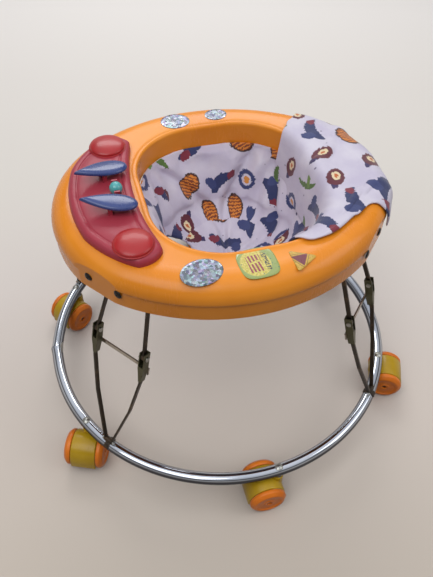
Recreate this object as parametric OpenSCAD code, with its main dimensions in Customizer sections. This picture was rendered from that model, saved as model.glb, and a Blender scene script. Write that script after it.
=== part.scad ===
// Folding baby walker: round base ring on six casters, four over-centre folding
// leg frames, oval play tray with a toy panel and a cloth seat.
// Millimetres.  Z up, floor at z = 0, the child faces -Y, the child's left is +X.

/* [View] */
// Sub-part to draw, or all

/* [Base ring] */
// Centreline radius of the base ring
ring_r = 290; // [240:1:330]
// Outside diameter of the ring tube
tube_d = 19; // [16:0.5:25]
// Wall of the ring tube
tube_wall = 1.2; // [0.8:0.1:2]
// Height of the tube centre above the floor
ring_z = 72; // [60:1:90]
// Azimuth of the butt joint, from the front towards the child's left
joint_az = -6; // [-20:1:20]

/* [Casters] */
// Wheel diameter
wheel_d = 58; // [45:1:75]
// Width of one wheel disc outside the hood
wheel_w = 11; // [8:0.5:16]
// Width of the hood
hood_w = 41; // [30:0.5:50]
// Trail of the axle behind the stem
trail = 22; // [15:1:30]
// Stem diameter
stem_d = 8; // [6:0.5:10]
// Axle diameter
axle_d = 6; // [4:0.5:8]

/* [Leg frames] */
// Azimuth of the front leg frames from the front
leg_az_front = 38; // [30:1:50]
// Azimuth of the rear leg frames from the front
leg_az_rear = 136; // [125:1:150]
// Height of the foot pivots
foot_z = 86; // [86:0.5:100]
// Lower member, foot pivot to knee pivot
lower_l = 202.208; // [180:0.001:220]
// Upper member, knee pivot to top pivot
upper_l = 108.881; // [90:0.001:120]
// Inward lean of the lower member
lower_lean = 16.219; // [10:0.001:20]
// Inward lean of the upper member, more than the lower so that the knee is over centre
upper_lean = 20.719; // [12:0.001:25]
// Half the distance between the two knees of a frame
knee_half = 43; // [25:0.5:45]
// Half the distance between the upper members at the top rod
top_half = 30; // [24:0.5:36]
// Thickness of the flat bars
bar_t = 3; // [2.5:0.5:4]
// Width of the flat bars
bar_w = 6; // [5:0.5:7]
// Pivot pin diameter
pin_d = 4; // [3:0.5:5]
// Half length of the slots that take up the arc error at the open top pivots
slot_half = 8; // [4:0.5:9]

/* [Tray] */
// Half width of the tray
tray_hx = 208; // [180:0.5:230]
// Half length of the tray
tray_hy = 244; // [200:1:260]
// Radius of the oval's end arcs
end_r = 190; // [150:1:200]
// Underside of the rim skirt
tray_z0 = 357; // [330:1:380]
// Top of the deck
tray_z1 = 412; // [390:1:440]
// Wall thickness of the moulding
skin = 2.6; // [2:0.1:4]
// Rounding of the outer top edge
rim_round = 28; // [15:1:35]
// Height of the crease under the rounded shoulder
crease_z = 383; // [365:1:384]
// Distance of the front mounting facets from the middle of the tray
facet_front = 228.5; // [226:0.5:230]
// Distance of the rear mounting facets from the middle of the tray
facet_rear = 224.5; // [222:0.5:227]
// Half width of the seat opening
open_hx = 140; // [110:1:150]
// Half length of the seat opening
open_hy = 127; // [100:1:140]
// Corner radius of the seat opening
open_r = 100; // [60:1:110]
// Centre of the seat opening behind the middle of the tray
open_y = 14; // [0:1:30]
// Lower edge of the opening wall
open_z0 = 376; // [360:1:395]

/* [Toy panel] */
// Thickness of the toy panel above the deck
panel_t = 12; // [6:1:20]
// Length of a rocker lever
lever_l = 72; // [50:1:90]
// Width of a rocker lever
lever_w = 30; // [20:1:32]
// Rest tilt of the levers, end next to the seat down
lever_tilt = 8; // [0:1:12]
// Splay of the levers, ends next to the seat apart
lever_splay = 12; // [0:1:15]
// Diameter of the spinning ball
ball_d = 18; // [14:1:24]

/* [Seat] */
// Outside radius of the seat pouch
seat_r = 119; // [100:1:122]
// Lowest point of the seat pouch
seat_z0 = 250; // [220:1:300]

/* [Hidden] */
$fn = 72;
run_c = 0.03;                       // radial running clearance
tube_r = tube_d / 2;
tube_top = ring_z + tube_r;
ring_gap = 0.5;
wheel_r = wheel_d / 2;
axle_z = wheel_r;
hood_r = wheel_r - 2;
knee_y = -ring_r + lower_l * sin(lower_lean);
knee_z = foot_z + lower_l * cos(lower_lean);
top_y = knee_y + upper_l * sin(upper_lean);
top_z = knee_z + upper_l * cos(upper_lean);
foot_half = 6;
// the flat deck lies a little below the top of the rim
deck_z = tray_z1 - 0.4;
// four-arc oval: end circles of radius end_r at (0, +-oc), side arcs at (-+od, 0)
oc = tray_hy - end_r;
od = (oc * oc - pow(tray_hx - end_r, 2)) / (2 * (tray_hx - end_r));
side_r = tray_hx + od;
ophi = atan2(oc, od);
leg_az = [leg_az_front, -leg_az_front, leg_az_rear, -leg_az_rear];
// side of the facet's middle, seen from outside, for each leg frame
leg_side = [-1, 1, 1, -1];
screw_x = [46, -5];
facet_d = [facet_front, facet_front, facet_rear, facet_rear];
// plane of the bracket plates, behind the facets
plate_y = [for (d = facet_d) d - 10];
// width of the rim moulding, measured in from the wall
rim_w = 40;
caster_az = [27, 93, 152, -152, -93, -34];
// rest heading of each caster's trailing wheels, from +X
caster_yaw = [-23, -90, 64, 98, 90, -53];

function norm3(v) = sqrt(v * v);

// ---------- helpers ----------

// straight flat bar from p to q, thickness along X, width across
module bar(p, q, t, w, e0 = 0, e1 = 0) {
    v = q - p;
    l = norm3(v);
    translate(p) rotate([0, atan2(v.x, v.z), 0]) rotate([-asin(v.y / l), 0, 0])
        translate([-t / 2, -w / 2, -e0]) cube([t, w, l + e0 + e1]);
}

// cylinder along X, centred at p
module xcyl(p, d, l) translate(p) rotate([0, 90, 0]) cylinder(d = d, h = l, center = true);

// oval outline grown by off
module oval2d(off = 0) {
    for (s = [-1, 1]) {
        translate([0, s * oc]) circle(r = end_r + off, $fn = 144);
        intersection() {
            translate([-s * od, 0]) circle(r = side_r + off, $fn = 180);
            polygon([[-s * od, 0],
                [-s * od + s * 600 * cos(ophi), 600 * sin(ophi)],
                [-s * od + s * 600 * cos(ophi), -600 * sin(ophi)]]);
        }
    }
    polygon([[-od, 0], [0, oc], [od, 0], [0, -oc]]);
}

// profile (x = distance out from the wall, y = z) carried round the oval
module oval_sweep() {
    for (s = [0, 180]) {
        rotate([0, 0, s]) translate([-od, 0, 0]) rotate([0, 0, -ophi])
            rotate_extrude(angle = 2 * ophi, $fn = 180) translate([side_r, 0]) children();
        rotate([0, 0, s]) translate([0, oc, 0]) rotate([0, 0, ophi])
            rotate_extrude(angle = 180 - 2 * ophi, $fn = 144) translate([end_r, 0]) children();
    }
}

// rounded rectangle with half sizes hx, hy
module rrect(hx, hy, r) {
    square([2 * (hx - r), 2 * hy], center = true);
    square([2 * hx, 2 * (hy - r)], center = true);
    for (x = [-1, 1], y = [-1, 1])
        translate([x * (hx - r), y * (hy - r)]) circle(r = r, $fn = 96);
}

module opening2d(off = 0)
    translate([0, open_y]) rrect(open_hx + off, open_hy + off, open_r + off);

// ---------- base ring ----------

module base_ring() color([0.80, 0.81, 0.83]) difference() {
    translate([0, 0, ring_z]) rotate_extrude($fn = 180) translate([ring_r, 0]) difference() {
        circle(r = tube_r, $fn = 48);
        circle(r = tube_r - tube_wall, $fn = 48);
    }
    rotate([0, 0, joint_az]) {
        translate([-ring_gap / 2, -ring_r - 20, ring_z - 20]) cube([ring_gap, 40, 40]);
        for (s = [-1, 1]) translate([s * 12, -sqrt(ring_r * ring_r - 144), 0]) cylinder(d = 4, h = ring_z);
    }
    for (a = caster_az) rotate([0, 0, a]) translate([0, -ring_r, 0])
        cylinder(d = stem_d, h = 200);
}

// short curved bar inside the butt joint
module ring_joint_plug() color([0.45, 0.46, 0.48]) difference() {
    translate([0, 0, ring_z]) rotate([0, 0, joint_az - 90 - 4.5])
        rotate_extrude(angle = 9, $fn = 180) translate([ring_r, 0]) circle(r = tube_r - tube_wall - 0.05, $fn = 48);
    rotate([0, 0, joint_az]) for (s = [-1, 1])
        translate([s * 12, -sqrt(ring_r * ring_r - 144), 0]) cylinder(d = 4, h = ring_z);
}

module ring_joint_screws() color([0.55, 0.56, 0.58])
    rotate([0, 0, joint_az]) for (s = [-1, 1])
        translate([s * 12, -sqrt(ring_r * ring_r - 144), 0]) {
            translate([0, 0, ring_z - tube_r - 0.4]) cylinder(d = 3.9, h = tube_r - 0.6);
            translate([0, 0, ring_z - tube_r - 2]) cylinder(d = 7, h = 1.7);
        }

// caster stems: dome head on top, collar under the tube, clip at the lower end
module caster_stems() color([0.70, 0.71, 0.73])
    for (a = caster_az) rotate([0, 0, a]) translate([0, -ring_r, 0]) {
        translate([0, 0, 31]) cylinder(d = stem_d, h = tube_top + 0.6 - 31);
        translate([0, 0, tube_top + 0.1]) rotate_extrude() intersection() {
            translate([0, -6.5]) circle(r = 9, $fn = 64);
            square([6.4, 3]);
        }
        translate([0, 0, ring_z - tube_r - 2.6]) cylinder(d = 15, h = 2.4);
        translate([0, 0, 31]) cylinder(d = 11, h = 1.4);
    }

// joint plug with its two screws, and the six caster stems, as separate solids
module ring_hardware() {
    ring_joint_plug();
    ring_joint_screws();
    caster_stems();
}

// saddle plates riveted on top of the ring, each with one pivot lug
module ring_saddles() color([0.42, 0.42, 0.40]) for (a = leg_az) rotate([0, 0, a]) difference() {
    union() {
        translate([0, 0, ring_z]) rotate([0, 0, -90 - 0.85]) rotate_extrude(angle = 1.7, $fn = 180)
            translate([ring_r, 0]) difference() {
                circle(r = tube_r + 1.4, $fn = 48);
                circle(r = tube_r + 0.02, $fn = 48);
                translate([-20, -20]) square([40, 24]);
            }
        translate([-3, -ring_r - 4, tube_top + 0.8]) cube([6, 8, foot_z - tube_top - 0.8]);
        xcyl([0, -ring_r, foot_z], 9, 8.6);
    }
    xcyl([0, -ring_r, foot_z], pin_d + 2 * run_c, 20);
}

// ---------- casters ----------

module at_caster(i) {
    a = caster_az[i];
    translate([ring_r * sin(a), -ring_r * cos(a), 0]) rotate([0, 0, caster_yaw[i]]) children();
}

// cylinder-like solid about the axle direction (Y) drawn from a 2D side view
module side_plate(w) rotate([90, 0, 0]) linear_extrude(w, center = true) children();

module caster_hood(i) color([0.86, 0.74, 0.10]) at_caster(i) difference() {
    union() {
        side_plate(hood_w) intersection() {
            translate([trail, axle_z]) difference() {
                circle(r = hood_r, $fn = 96);
                circle(r = hood_r - 2.6, $fn = 96);
            }
            polygon([[-20, axle_z + 2], [trail, axle_z + 2], [trail, axle_z - 12], [80, axle_z - 12], [80, 80], [-20, 80]]);
        }
        side_plate(5) intersection() {
            translate([trail, axle_z]) circle(r = hood_r - 1, $fn = 96);
            translate([-20, axle_z - 12]) square([100, 80]);
        }
        translate([0, 0, 33.2]) cylinder(d = 18, h = 26);
    }
    translate([0, 0, 20]) cylinder(d = stem_d + 2 * run_c, h = 60);
    translate([0, 0, 20]) cylinder(d = 19, h = 13.2);
    translate([trail, 0, axle_z]) rotate([90, 0, 0]) cylinder(d = axle_d + 2 * run_c, h = 60, center = true);
}

module wheel_half() rotate_extrude($fn = 96) difference() {
    union() {
        translate([0, 2.9]) square([12, hood_w / 2 + 2 - 2.9]);
        translate([0, hood_w / 2 + 0.4]) square([wheel_r - 3, wheel_w]);
        translate([0, hood_w / 2 + 0.4]) square([wheel_r, wheel_w - 4]);
        intersection() {
            translate([wheel_r - 4, hood_w / 2 + 0.4 + wheel_w - 4]) circle(r = 4, $fn = 48);
            square([wheel_r, 80]);
        }
    }
    translate([0, 2]) square([axle_d / 2, 60]);
    translate([0, hood_w / 2 + 0.4 + wheel_w - 1.6]) square([18, 4]);
    translate([0, hood_w / 2 + 0.4 + wheel_w - 4]) square([5.5, 6]);
}

module caster_wheels(i) color([0.93, 0.50, 0.08]) at_caster(i)
    for (s = [-1, 1]) translate([trail, 0, axle_z]) rotate([-s * 90, 0, 0]) wheel_half();

module caster_axle(i) color([0.35, 0.35, 0.36]) at_caster(i)
    translate([trail, 0, axle_z]) rotate([90, 0, 0])
        cylinder(d = axle_d, h = 2 * (hood_w / 2 + 0.4 + wheel_w - 3), center = true);

// ---------- leg frames ----------

module at_leg(k) rotate([0, 0, leg_az[k]]) children();

// frame of a knee channel: Z along the lower member, +Y inwards
module at_knee(s) translate([s * knee_half, knee_y, knee_z]) rotate([-lower_lean, 0, 0]) children();

module lower_bars(k) color([0.22, 0.22, 0.21]) at_leg(k) for (s = [-1, 1]) {
    foot = [s * foot_half, -ring_r, foot_z];
    knee = [s * knee_half, knee_y, knee_z];
    u = [0, sin(lower_lean), cos(lower_lean)];
    top = knee - 17 * u;
    grip = knee - 47 * u;
    bend = knee - 112 * u - [s * 11, 0, 0];
    difference() {
        union() {
            bar(foot, bend, bar_t, bar_w, 0, 1);
            bar(bend, grip, bar_t, bar_w, 1, 1);
            bar(grip, top, bar_t, bar_w, 0, 0);
            xcyl(foot, 8.6, bar_t);
        }
        xcyl(foot, pin_d, 30);
    }
}

// folded sheet channel, open outwards; its web stops the upper member over centre
module knee_channels(k) color([0.32, 0.33, 0.28]) at_leg(k) for (s = [-1, 1]) at_knee(s) difference() {
    rotate([90, 0, 90]) linear_extrude(10, center = true)
        polygon([[-5, 9], [6.5, 9], [6.5, -44], [-3.2, -44], [-3.8, -30], [-5, -16]]);
    // room for the upper member
    rotate([90, 0, 90]) linear_extrude(7, center = true)
        polygon([[-20, 30], [4.5, 30], [4.5, -15.5], [-20, -15.5]]);
    // pocket for the lower bar, fixed in the tapered end
    translate([-bar_t / 2, -bar_w / 2, -70]) cube([bar_t, bar_w, 70 - 15.5]);
    // tapering outside
    for (m = [-1, 1]) rotate([90, 0, 0]) linear_extrude(60, center = true)
        polygon([[m * 5.2, -18], [m * 5.2, -70], [m * 2.4, -70], [m * 2.4, -42]]);
    xcyl([0, 0, 0], pin_d, 30);
}

module crossbar(k) color([0.62, 0.62, 0.58]) at_leg(k) translate([0, knee_y, knee_z]) rotate([-lower_lean, 0, 0]) {
    translate([-knee_half - 6, 6.5, -26]) cube([2 * knee_half + 12, 2.2, 5]);
    for (s = [-1, 1]) translate([s * (knee_half + 4.9) - 1.1, 6.5, -33]) cube([2.2, 2.2, 8]);
}

module leg_pins(k) color([0.55, 0.55, 0.54]) at_leg(k) {
    xcyl([0, -ring_r, foot_z], pin_d, 19.6);
    for (s = [-1, 1]) {
        xcyl([s * 9.8, -ring_r, foot_z], 7, 2);
        xcyl([s * knee_half, knee_y, knee_z], pin_d, 13);
        for (m = [-1, 1]) xcyl([s * knee_half + m * 6, knee_y, knee_z], 7, 2);
    }
}

module upper_bars(k) color([0.20, 0.20, 0.19]) at_leg(k) for (s = [-1, 1]) {
    knee = [s * knee_half, knee_y, knee_z];
    top = [s * top_half, top_y, top_z];
    difference() {
        union() {
            bar(knee, top, bar_t, bar_w);
            xcyl(knee, 8, 6.4);
            xcyl(top, 9, bar_t);
        }
        xcyl(knee, pin_d + 2 * run_c, 30);
        xcyl(top, pin_d, 30);
    }
}

module top_rod(k) color([0.60, 0.60, 0.60]) at_leg(k) {
    xcyl([0, top_y, top_z], pin_d, 2 * top_half + 10);
    for (s = [-1, 1]) xcyl([s * (top_half + 3.6), top_y, top_z], 7, 2);
}

// ---------- tray ----------

module rim_outer2d() {
    translate([-60, crease_z]) square([60, tray_z1 - rim_round - crease_z]);
    translate([-60, tray_z0]) square([60 - 1.6, crease_z - tray_z0 + 1]);
    translate([-60, tray_z1 - 30]) square([60 - rim_round, 30]);
    intersection() {
        translate([-rim_round, tray_z1 - rim_round]) circle(r = rim_round, $fn = 96);
        translate([-rim_round, tray_z1 - rim_round]) square(rim_round);
    }
}

module rim_inner2d() {
    ri = rim_round - skin;
    translate([-80, crease_z - 2]) square([80 - skin, tray_z1 - rim_round - crease_z + 2]);
    translate([-80, tray_z0 - 5]) square([80 - 1.6 - skin, crease_z - tray_z0 + 5]);
    translate([-80, tray_z1 - rim_round - 5]) square([80 - rim_round, rim_round - skin + 5]);
    intersection() {
        translate([-rim_round, tray_z1 - rim_round]) circle(r = ri, $fn = 96);
        translate([-rim_round, tray_z1 - rim_round]) square(rim_round);
    }
}

module at_screw(k, y = 0) for (x = screw_x) at_leg(k) translate([leg_side[k] * x, y, top_z - 3]) rotate([90, 0, 0]) children();

// slab of thickness t behind each facet plane, or all that lies outside it
module facet(t, y0 = 0) for (k = [0:3]) at_leg(k)
    translate([-140, -facet_d[k] + y0, tray_z0 - 20]) cube([280, t, tray_z1 - tray_z0 + 40]);

// outer skirt and rounded shoulder of the tray, with the four mounting facets
module tray_rim() color([0.95, 0.52, 0.10]) difference() {
    union() {
        difference() {
            oval_sweep() difference() {
                rim_outer2d();
                rim_inner2d();
                translate([-rim_w - 99, 300]) square([100, 200]);
            }
            facet(60, -60);
        }
        // seat for the deck
        translate([0, 0, deck_z - skin]) linear_extrude(skin) difference() {
            oval2d(4 - rim_w);
            oval2d(-rim_w);
        }
        // flat wall of the mounting facets
        intersection() {
            oval_sweep() rim_outer2d();
            facet(skin);
        }
        // screw bosses behind the facets
        for (k = [0:3]) at_screw(k, -plate_y[k]) cylinder(d = 11, h = 9);
    }
    for (k = [0:3]) at_screw(k, -150) cylinder(d = 4, h = 100);
}

// flat top of the tray around the seat opening
module tray_deck() color([0.95, 0.52, 0.10]) translate([0, 0, deck_z - skin]) linear_extrude(skin) difference() {
    oval2d(-rim_w);
    opening2d(0);
}

// wall that hangs from the edge of the seat opening
module tray_well() color([0.95, 0.52, 0.10]) translate([0, 0, open_z0]) linear_extrude(deck_z - skin - open_z0) difference() {
    opening2d(skin);
    opening2d(0);
}

// ribs between the opening wall and the outer wall
module tray_ribs() color([0.93, 0.50, 0.10]) intersection() {
    union() {
        translate([0, 0, tray_z1 - 22]) linear_extrude(22 - skin - 0.4) difference() {
            oval2d(1 - rim_round);
            opening2d(skin);
        }
        translate([0, 0, tray_z1 - 22]) linear_extrude(5) difference() {
            oval2d(-5.6);
            opening2d(skin);
        }
    }
    for (a = [10, 68, 90, 112, 165, 180, 195, 248, 270, 292, 350]) rotate([0, 0, a])
        translate([-1.2, -260, tray_z1 - 22]) cube([2.4, 260, 22]);
}

// sheet brackets inside the rim that hold the top rods
module top_brackets() color([0.50, 0.51, 0.50]) for (k = [0:3]) at_leg(k) difference() {
    union() {
        translate([leg_side[k] * 18 - 37, -plate_y[k], top_z - 12]) cube([74, 2, 20]);
        for (s = [-1, 1]) translate([s * 14 - 1.25, 1 - plate_y[k], top_z - 6]) cube([2.5, plate_y[k] - 180, 14]);
    }
    for (x = screw_x) translate([leg_side[k] * x, -150, top_z - 3]) rotate([90, 0, 0]) cylinder(d = 4, h = 100);
    if (k == 0) xcyl([0, top_y, top_z], pin_d + 2 * run_c, 60);
    else {
        for (m = [-1, 1]) xcyl([0, top_y + m * slot_half, top_z], pin_d + 0.7, 60);
        translate([-30, top_y - slot_half, top_z - pin_d / 2 - 0.35]) cube([60, 2 * slot_half, pin_d + 0.7]);
    }
}

module tray_screws() color([0.12, 0.12, 0.12]) for (k = [0:3]) at_screw(k) {
    translate([0, 0, plate_y[k] - 6]) cylinder(d = 4, h = 17);
    translate([0, 0, facet_d[k]]) cylinder(d = 9.5, h = 2);
    translate([0, 0, plate_y[k] - 5]) cylinder(d = 7.5, h = 3);
}

// ---------- toy panel ----------

lever_x = 36;
lever_y = -163;
lever_z = tray_z1 + panel_t + 9;
ball_y = -150;
ball_z = tray_z1 + panel_t + ball_d / 2 - 2;

module panel2d(off = 0) difference() {
    intersection() {
        oval2d(-24 + off);
        translate([0, 23]) circle(r = 238 + off, $fn = 240);
        translate([0, -162]) rrect(138 + off, 54 + off, 34 + off);
    }
    translate([0, 273]) circle(r = 400 - off, $fn = 240);
}

module toy_panel() color([0.62, 0.10, 0.13]) difference() {
    union() {
        translate([0, 0, tray_z1]) linear_extrude(panel_t - 4) panel2d(0);
        translate([0, 0, tray_z1]) linear_extrude(panel_t) panel2d(-5);
    }
    // shallow dish under the ball
    translate([0, ball_y, ball_z]) sphere(d = ball_d + 3);
}

// pedestals of the levers and yoke of the ball
module toy_posts() color([0.58, 0.08, 0.11]) difference() {
    union() {
        for (s = [-1, 1]) translate([s * lever_x, lever_y, 0]) rotate([0, 0, -s * lever_splay])
            for (m = [-1, 1]) {
                translate([m * 9 - 1.5, -3, tray_z1 + panel_t]) cube([3, 6, lever_z - tray_z1 - panel_t]);
                xcyl([m * 9, 0, lever_z], 6, 3);
            }
        for (m = [-1, 1]) translate([m * (ball_d / 2 + 3.5) - 1.5, ball_y - 4, tray_z1 + panel_t]) cube([3, 8, ball_z + 4 - tray_z1 - panel_t]);
    }
    for (s = [-1, 1]) translate([s * lever_x, lever_y, 0]) rotate([0, 0, -s * lever_splay])
        xcyl([0, 0, lever_z], 3, 60);
    xcyl([0, ball_y, ball_z], 3, 60);
}

// two rounded pods at the ends of the panel
module toy_pods() color([0.52, 0.05, 0.07]) for (s = [-1, 1])
    translate([s * 107, -146, tray_z1 + panel_t]) rotate_extrude($fn = 96) {
        square([26, 4]);
        intersection() {
            translate([0, 4 - 33]) circle(r = 42.2, $fn = 120);
            translate([0, 4]) square([26, 12]);
        }
    }

module toy_pins() color([0.75, 0.75, 0.76]) {
    for (s = [-1, 1]) translate([s * lever_x, lever_y, 0]) rotate([0, 0, -s * lever_splay]) xcyl([0, 0, lever_z], 3, 21);
    xcyl([0, ball_y, ball_z], 3, ball_d + 10);
}

module toy_lever(s) color([0.10, 0.16, 0.42]) {
    rr = (pow(lever_l / 2, 2) + pow(lever_w / 2, 2)) / lever_w;
    translate([s * lever_x, lever_y, lever_z]) rotate([0, 0, -s * lever_splay]) rotate([-lever_tilt, 0, 0]) difference() {
        union() {
            translate([0, 0, 3.5]) linear_extrude(5.5) intersection() {
                translate([rr - lever_w / 2, 0]) circle(r = rr, $fn = 180);
                translate([-rr + lever_w / 2, 0]) circle(r = rr, $fn = 180);
            }
            xcyl([0, 0, 0], 9, 14);
            translate([-7, -4.5, 0]) cube([14, 9, 5]);
        }
        xcyl([0, 0, 0], 3 + 2 * run_c, 40);
    }
}

// ball with flat cheeks and a bore for its pin
module toy_ball() color([0.20, 0.66, 0.66]) translate([0, ball_y, ball_z]) rotate([0, 90, 0])
    rotate_extrude($fn = 96) intersection() {
        circle(d = ball_d, $fn = 96);
        translate([1.5 + run_c, 1 - ball_d / 2]) square([ball_d, ball_d - 2]);
    }

// ---------- seat ----------

module seat_liner() color([0.86, 0.84, 0.90]) translate([0, open_y, 0]) difference() {
    rotate_extrude($fn = 120) {
        rb = 84;
        translate([seat_r - 4, seat_z0 + rb]) square([4, 392 - seat_z0 - rb]);
        intersection() {
            translate([seat_r - rb, seat_z0 + rb]) difference() {
                circle(r = rb, $fn = 120);
                circle(r = rb - 4, $fn = 120);
            }
            translate([seat_r - rb, seat_z0]) square([rb, rb]);
        }
        translate([0, seat_z0]) square([seat_r - rb, 4]);
    }
    // leg holes
    for (s = [-1, 1]) rotate([0, 0, s * 18]) translate([0, -58, seat_z0 + 34]) rotate([125, 0, 0])
        cylinder(d = 42, h = 200);
}

module seat_flap() color([0.84, 0.82, 0.89]) {
    translate([0, 0, tray_z1 + 0.6]) linear_extrude(4) intersection() {
        difference() {
            oval2d(4);
            opening2d(-1);
        }
        polygon([[-150, 66], [150, 66], [128, 150], [118, 190], [128, 260], [-128, 260], [-118, 190], [-128, 150]]);
    }
    translate([0, 0, tray_z1 - 22]) linear_extrude(26.6) intersection() {
        difference() {
            oval2d(4);
            oval2d(0.6);
        }
        polygon([[-118, 190], [118, 190], [128, 260], [-128, 260]]);
    }
}

// ---------- draw ----------

base_ring();
ring_hardware();
ring_saddles();
caster_hood(0);  // caster_hood_1
caster_hood(1);  // caster_hood_2
caster_hood(2);  // caster_hood_3
caster_hood(3);  // caster_hood_4
caster_hood(4);  // caster_hood_5
caster_hood(5);  // caster_hood_6
caster_wheels(0);  // caster_wheels_1
caster_wheels(1);  // caster_wheels_2
caster_wheels(2);  // caster_wheels_3
caster_wheels(3);  // caster_wheels_4
caster_wheels(4);  // caster_wheels_5
caster_wheels(5);  // caster_wheels_6
caster_axle(0);  // caster_axle_1
caster_axle(1);  // caster_axle_2
caster_axle(2);  // caster_axle_3
caster_axle(3);  // caster_axle_4
caster_axle(4);  // caster_axle_5
caster_axle(5);  // caster_axle_6
lower_bars(0);  // lower_bars_front_left
lower_bars(1);  // lower_bars_front_right
lower_bars(2);  // lower_bars_rear_left
lower_bars(3);  // lower_bars_rear_right
knee_channels(0);  // knee_channels_front_left
knee_channels(1);  // knee_channels_front_right
knee_channels(2);  // knee_channels_rear_left
knee_channels(3);  // knee_channels_rear_right
crossbar(0);  // crossbar_front_left
crossbar(1);  // crossbar_front_right
crossbar(2);  // crossbar_rear_left
crossbar(3);  // crossbar_rear_right
leg_pins(0);  // leg_pins_front_left
leg_pins(1);  // leg_pins_front_right
leg_pins(2);  // leg_pins_rear_left
leg_pins(3);  // leg_pins_rear_right
upper_bars(0);  // upper_bars_front_left
upper_bars(1);  // upper_bars_front_right
upper_bars(2);  // upper_bars_rear_left
upper_bars(3);  // upper_bars_rear_right
top_rod(0);  // top_rod_front_left
top_rod(1);  // top_rod_front_right
top_rod(2);  // top_rod_rear_left
top_rod(3);  // top_rod_rear_right
tray_rim();
tray_deck();
tray_well();
tray_ribs();
top_brackets();
tray_screws();
toy_panel();
toy_posts();
toy_pods();
toy_pins();
toy_lever(1);  // toy_lever_left
toy_lever(-1);  // toy_lever_right
toy_ball();
seat_liner();
seat_flap();
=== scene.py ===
import math

import bmesh
import bpy
from mathutils import Matrix, Vector, noise


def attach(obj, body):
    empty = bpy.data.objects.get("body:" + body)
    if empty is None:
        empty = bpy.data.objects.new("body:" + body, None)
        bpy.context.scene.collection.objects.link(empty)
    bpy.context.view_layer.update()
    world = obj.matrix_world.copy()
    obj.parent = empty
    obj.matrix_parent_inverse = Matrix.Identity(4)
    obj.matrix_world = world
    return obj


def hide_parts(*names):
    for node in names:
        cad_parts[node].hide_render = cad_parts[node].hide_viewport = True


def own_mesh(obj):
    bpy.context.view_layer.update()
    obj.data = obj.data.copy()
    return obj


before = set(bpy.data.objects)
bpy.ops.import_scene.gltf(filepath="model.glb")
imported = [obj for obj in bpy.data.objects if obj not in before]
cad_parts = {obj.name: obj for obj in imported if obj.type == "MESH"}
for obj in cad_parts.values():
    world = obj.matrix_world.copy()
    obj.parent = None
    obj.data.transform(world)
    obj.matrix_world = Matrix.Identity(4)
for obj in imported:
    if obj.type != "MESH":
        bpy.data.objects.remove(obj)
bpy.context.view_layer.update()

bl_info = {
    "name": "Baby walker",
    "version": (1, 0, 0),
    "blender": (4, 5, 0),
    "location": "View3D > Sidebar > Walker",
    "description": "Folding baby walker with a round base ring, play tray and cloth seat",
    "category": "Object",
}

MM = 0.001

# ---- sizes in mm, angles in degrees, azimuths from the front

RING_R, RING_Z = 290.0, 72.0
JOINT_AZ = -6
CASTER_AZ = [27, 93, 152, -152, -93, -34]
CASTER_YAW = [-23, -90, 64, 98, 90, -53]
TRAIL, AXLE_Z = 22.0, 29.0
HOOD_R, HOOD_HALF = 29.5, 20.5
LEGS = {"front_left": 38, "front_right": -38, "rear_left": 136, "rear_right": -136}
# mounting facets: which way their screws run, how far out they lie, and the screws along them
PAD_SIDE = {"front_left": 1, "front_right": -1, "rear_left": -1, "rear_right": 1}
PAD_D = {"front_left": 228.5, "front_right": 228.5, "rear_left": 224.5, "rear_right": 224.5}
SCREW_T = (-46.0, 5.0)
SCREW_Z = 379.0
TRAY_HX, TRAY_HY, END_R = 208.0, 244.0, 190.0
TRAY_Z0, CREASE_Z, TRAY_Z1 = 357.0, 383.0, 412.0
SHOULDER = 28.0
OPEN_HX, OPEN_HY, OPEN_R, OPEN_Y = 140.0, 127.0, 100.0, 14.0
PANEL_HX, PANEL_HY, PANEL_R, PANEL_Y = 138, 54, 34, -162
WELL_Z = 376.0
PANEL_Z = 424.0
LEVER_X, LEVER_Y, LEVER_Z = 36.0, -163.0, 433.0
LEVER_SPLAY, LEVER_TILT = 12, 8
LEVER_HALF, LEVER_PEAK, LEVER_OUT, LEVER_LONG = 15.8, 0.66, -40, 76
BALL, BALL_R = (0.0, -150.0, 431.0), 9
POD_X, POD_Y = 107, -146
SEAT_TOP, SEAT_BOTTOM = 379.0, 252.0
# floor radius, height of the floor's curve and share of the surface that is side wall
POUCH_R, POUCH_RISE, WALL_SHARE = 103.0, 50.0, 0.52
HOLE_R, HOLE_SPLAY, HOLE_TILT, VOXEL = 20, 18, 125, 4.2
# where the flap leaves the opening and the deck, its height, its drop outside and its gap to the wall
FLAP_LIP, FLAP_EDGE, FLAP_Z, FLAP_DROP, FLAP_GAP = 0.35, 0.74, 414.6, 10, 2.0
PRINT_CELL = 0.057
EYE, EYE_TURN, LENS = (0.65587, -0.19907, 0.94754), (41.8888, -0.7753, 74.3643), 37.435


# ---- modelling by hand

def clear():
    """Leave edit mode and deselect everything."""
    if bpy.context.object and bpy.context.object.mode != "OBJECT":
        bpy.ops.object.mode_set(mode="OBJECT")
    bpy.ops.object.select_all(action="DESELECT")


def take(obj):
    """Make obj the only selected object."""
    clear()
    obj.select_set(True)
    bpy.context.view_layer.objects.active = obj
    return obj


def edit(obj):
    """Enter edit mode on obj with every face selected."""
    take(obj)
    bpy.ops.object.mode_set(mode="EDIT")
    bpy.ops.mesh.select_mode(type="FACE")
    bpy.ops.mesh.select_all(action="SELECT")


def pick_open_edges(obj):
    """Select only the edges that have a face on one side."""
    bpy.ops.mesh.select_all(action="DESELECT")
    bm = bmesh.from_edit_mesh(obj.data)
    for edge in bm.edges:
        if edge.is_boundary:
            edge.select_set(True)
    bm.select_flush_mode()
    bmesh.update_edit_mesh(obj.data)


def snapped(point):
    """The point, rounded to a tenth of a micrometre."""
    return tuple(round(c, 7) for c in point)


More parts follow.
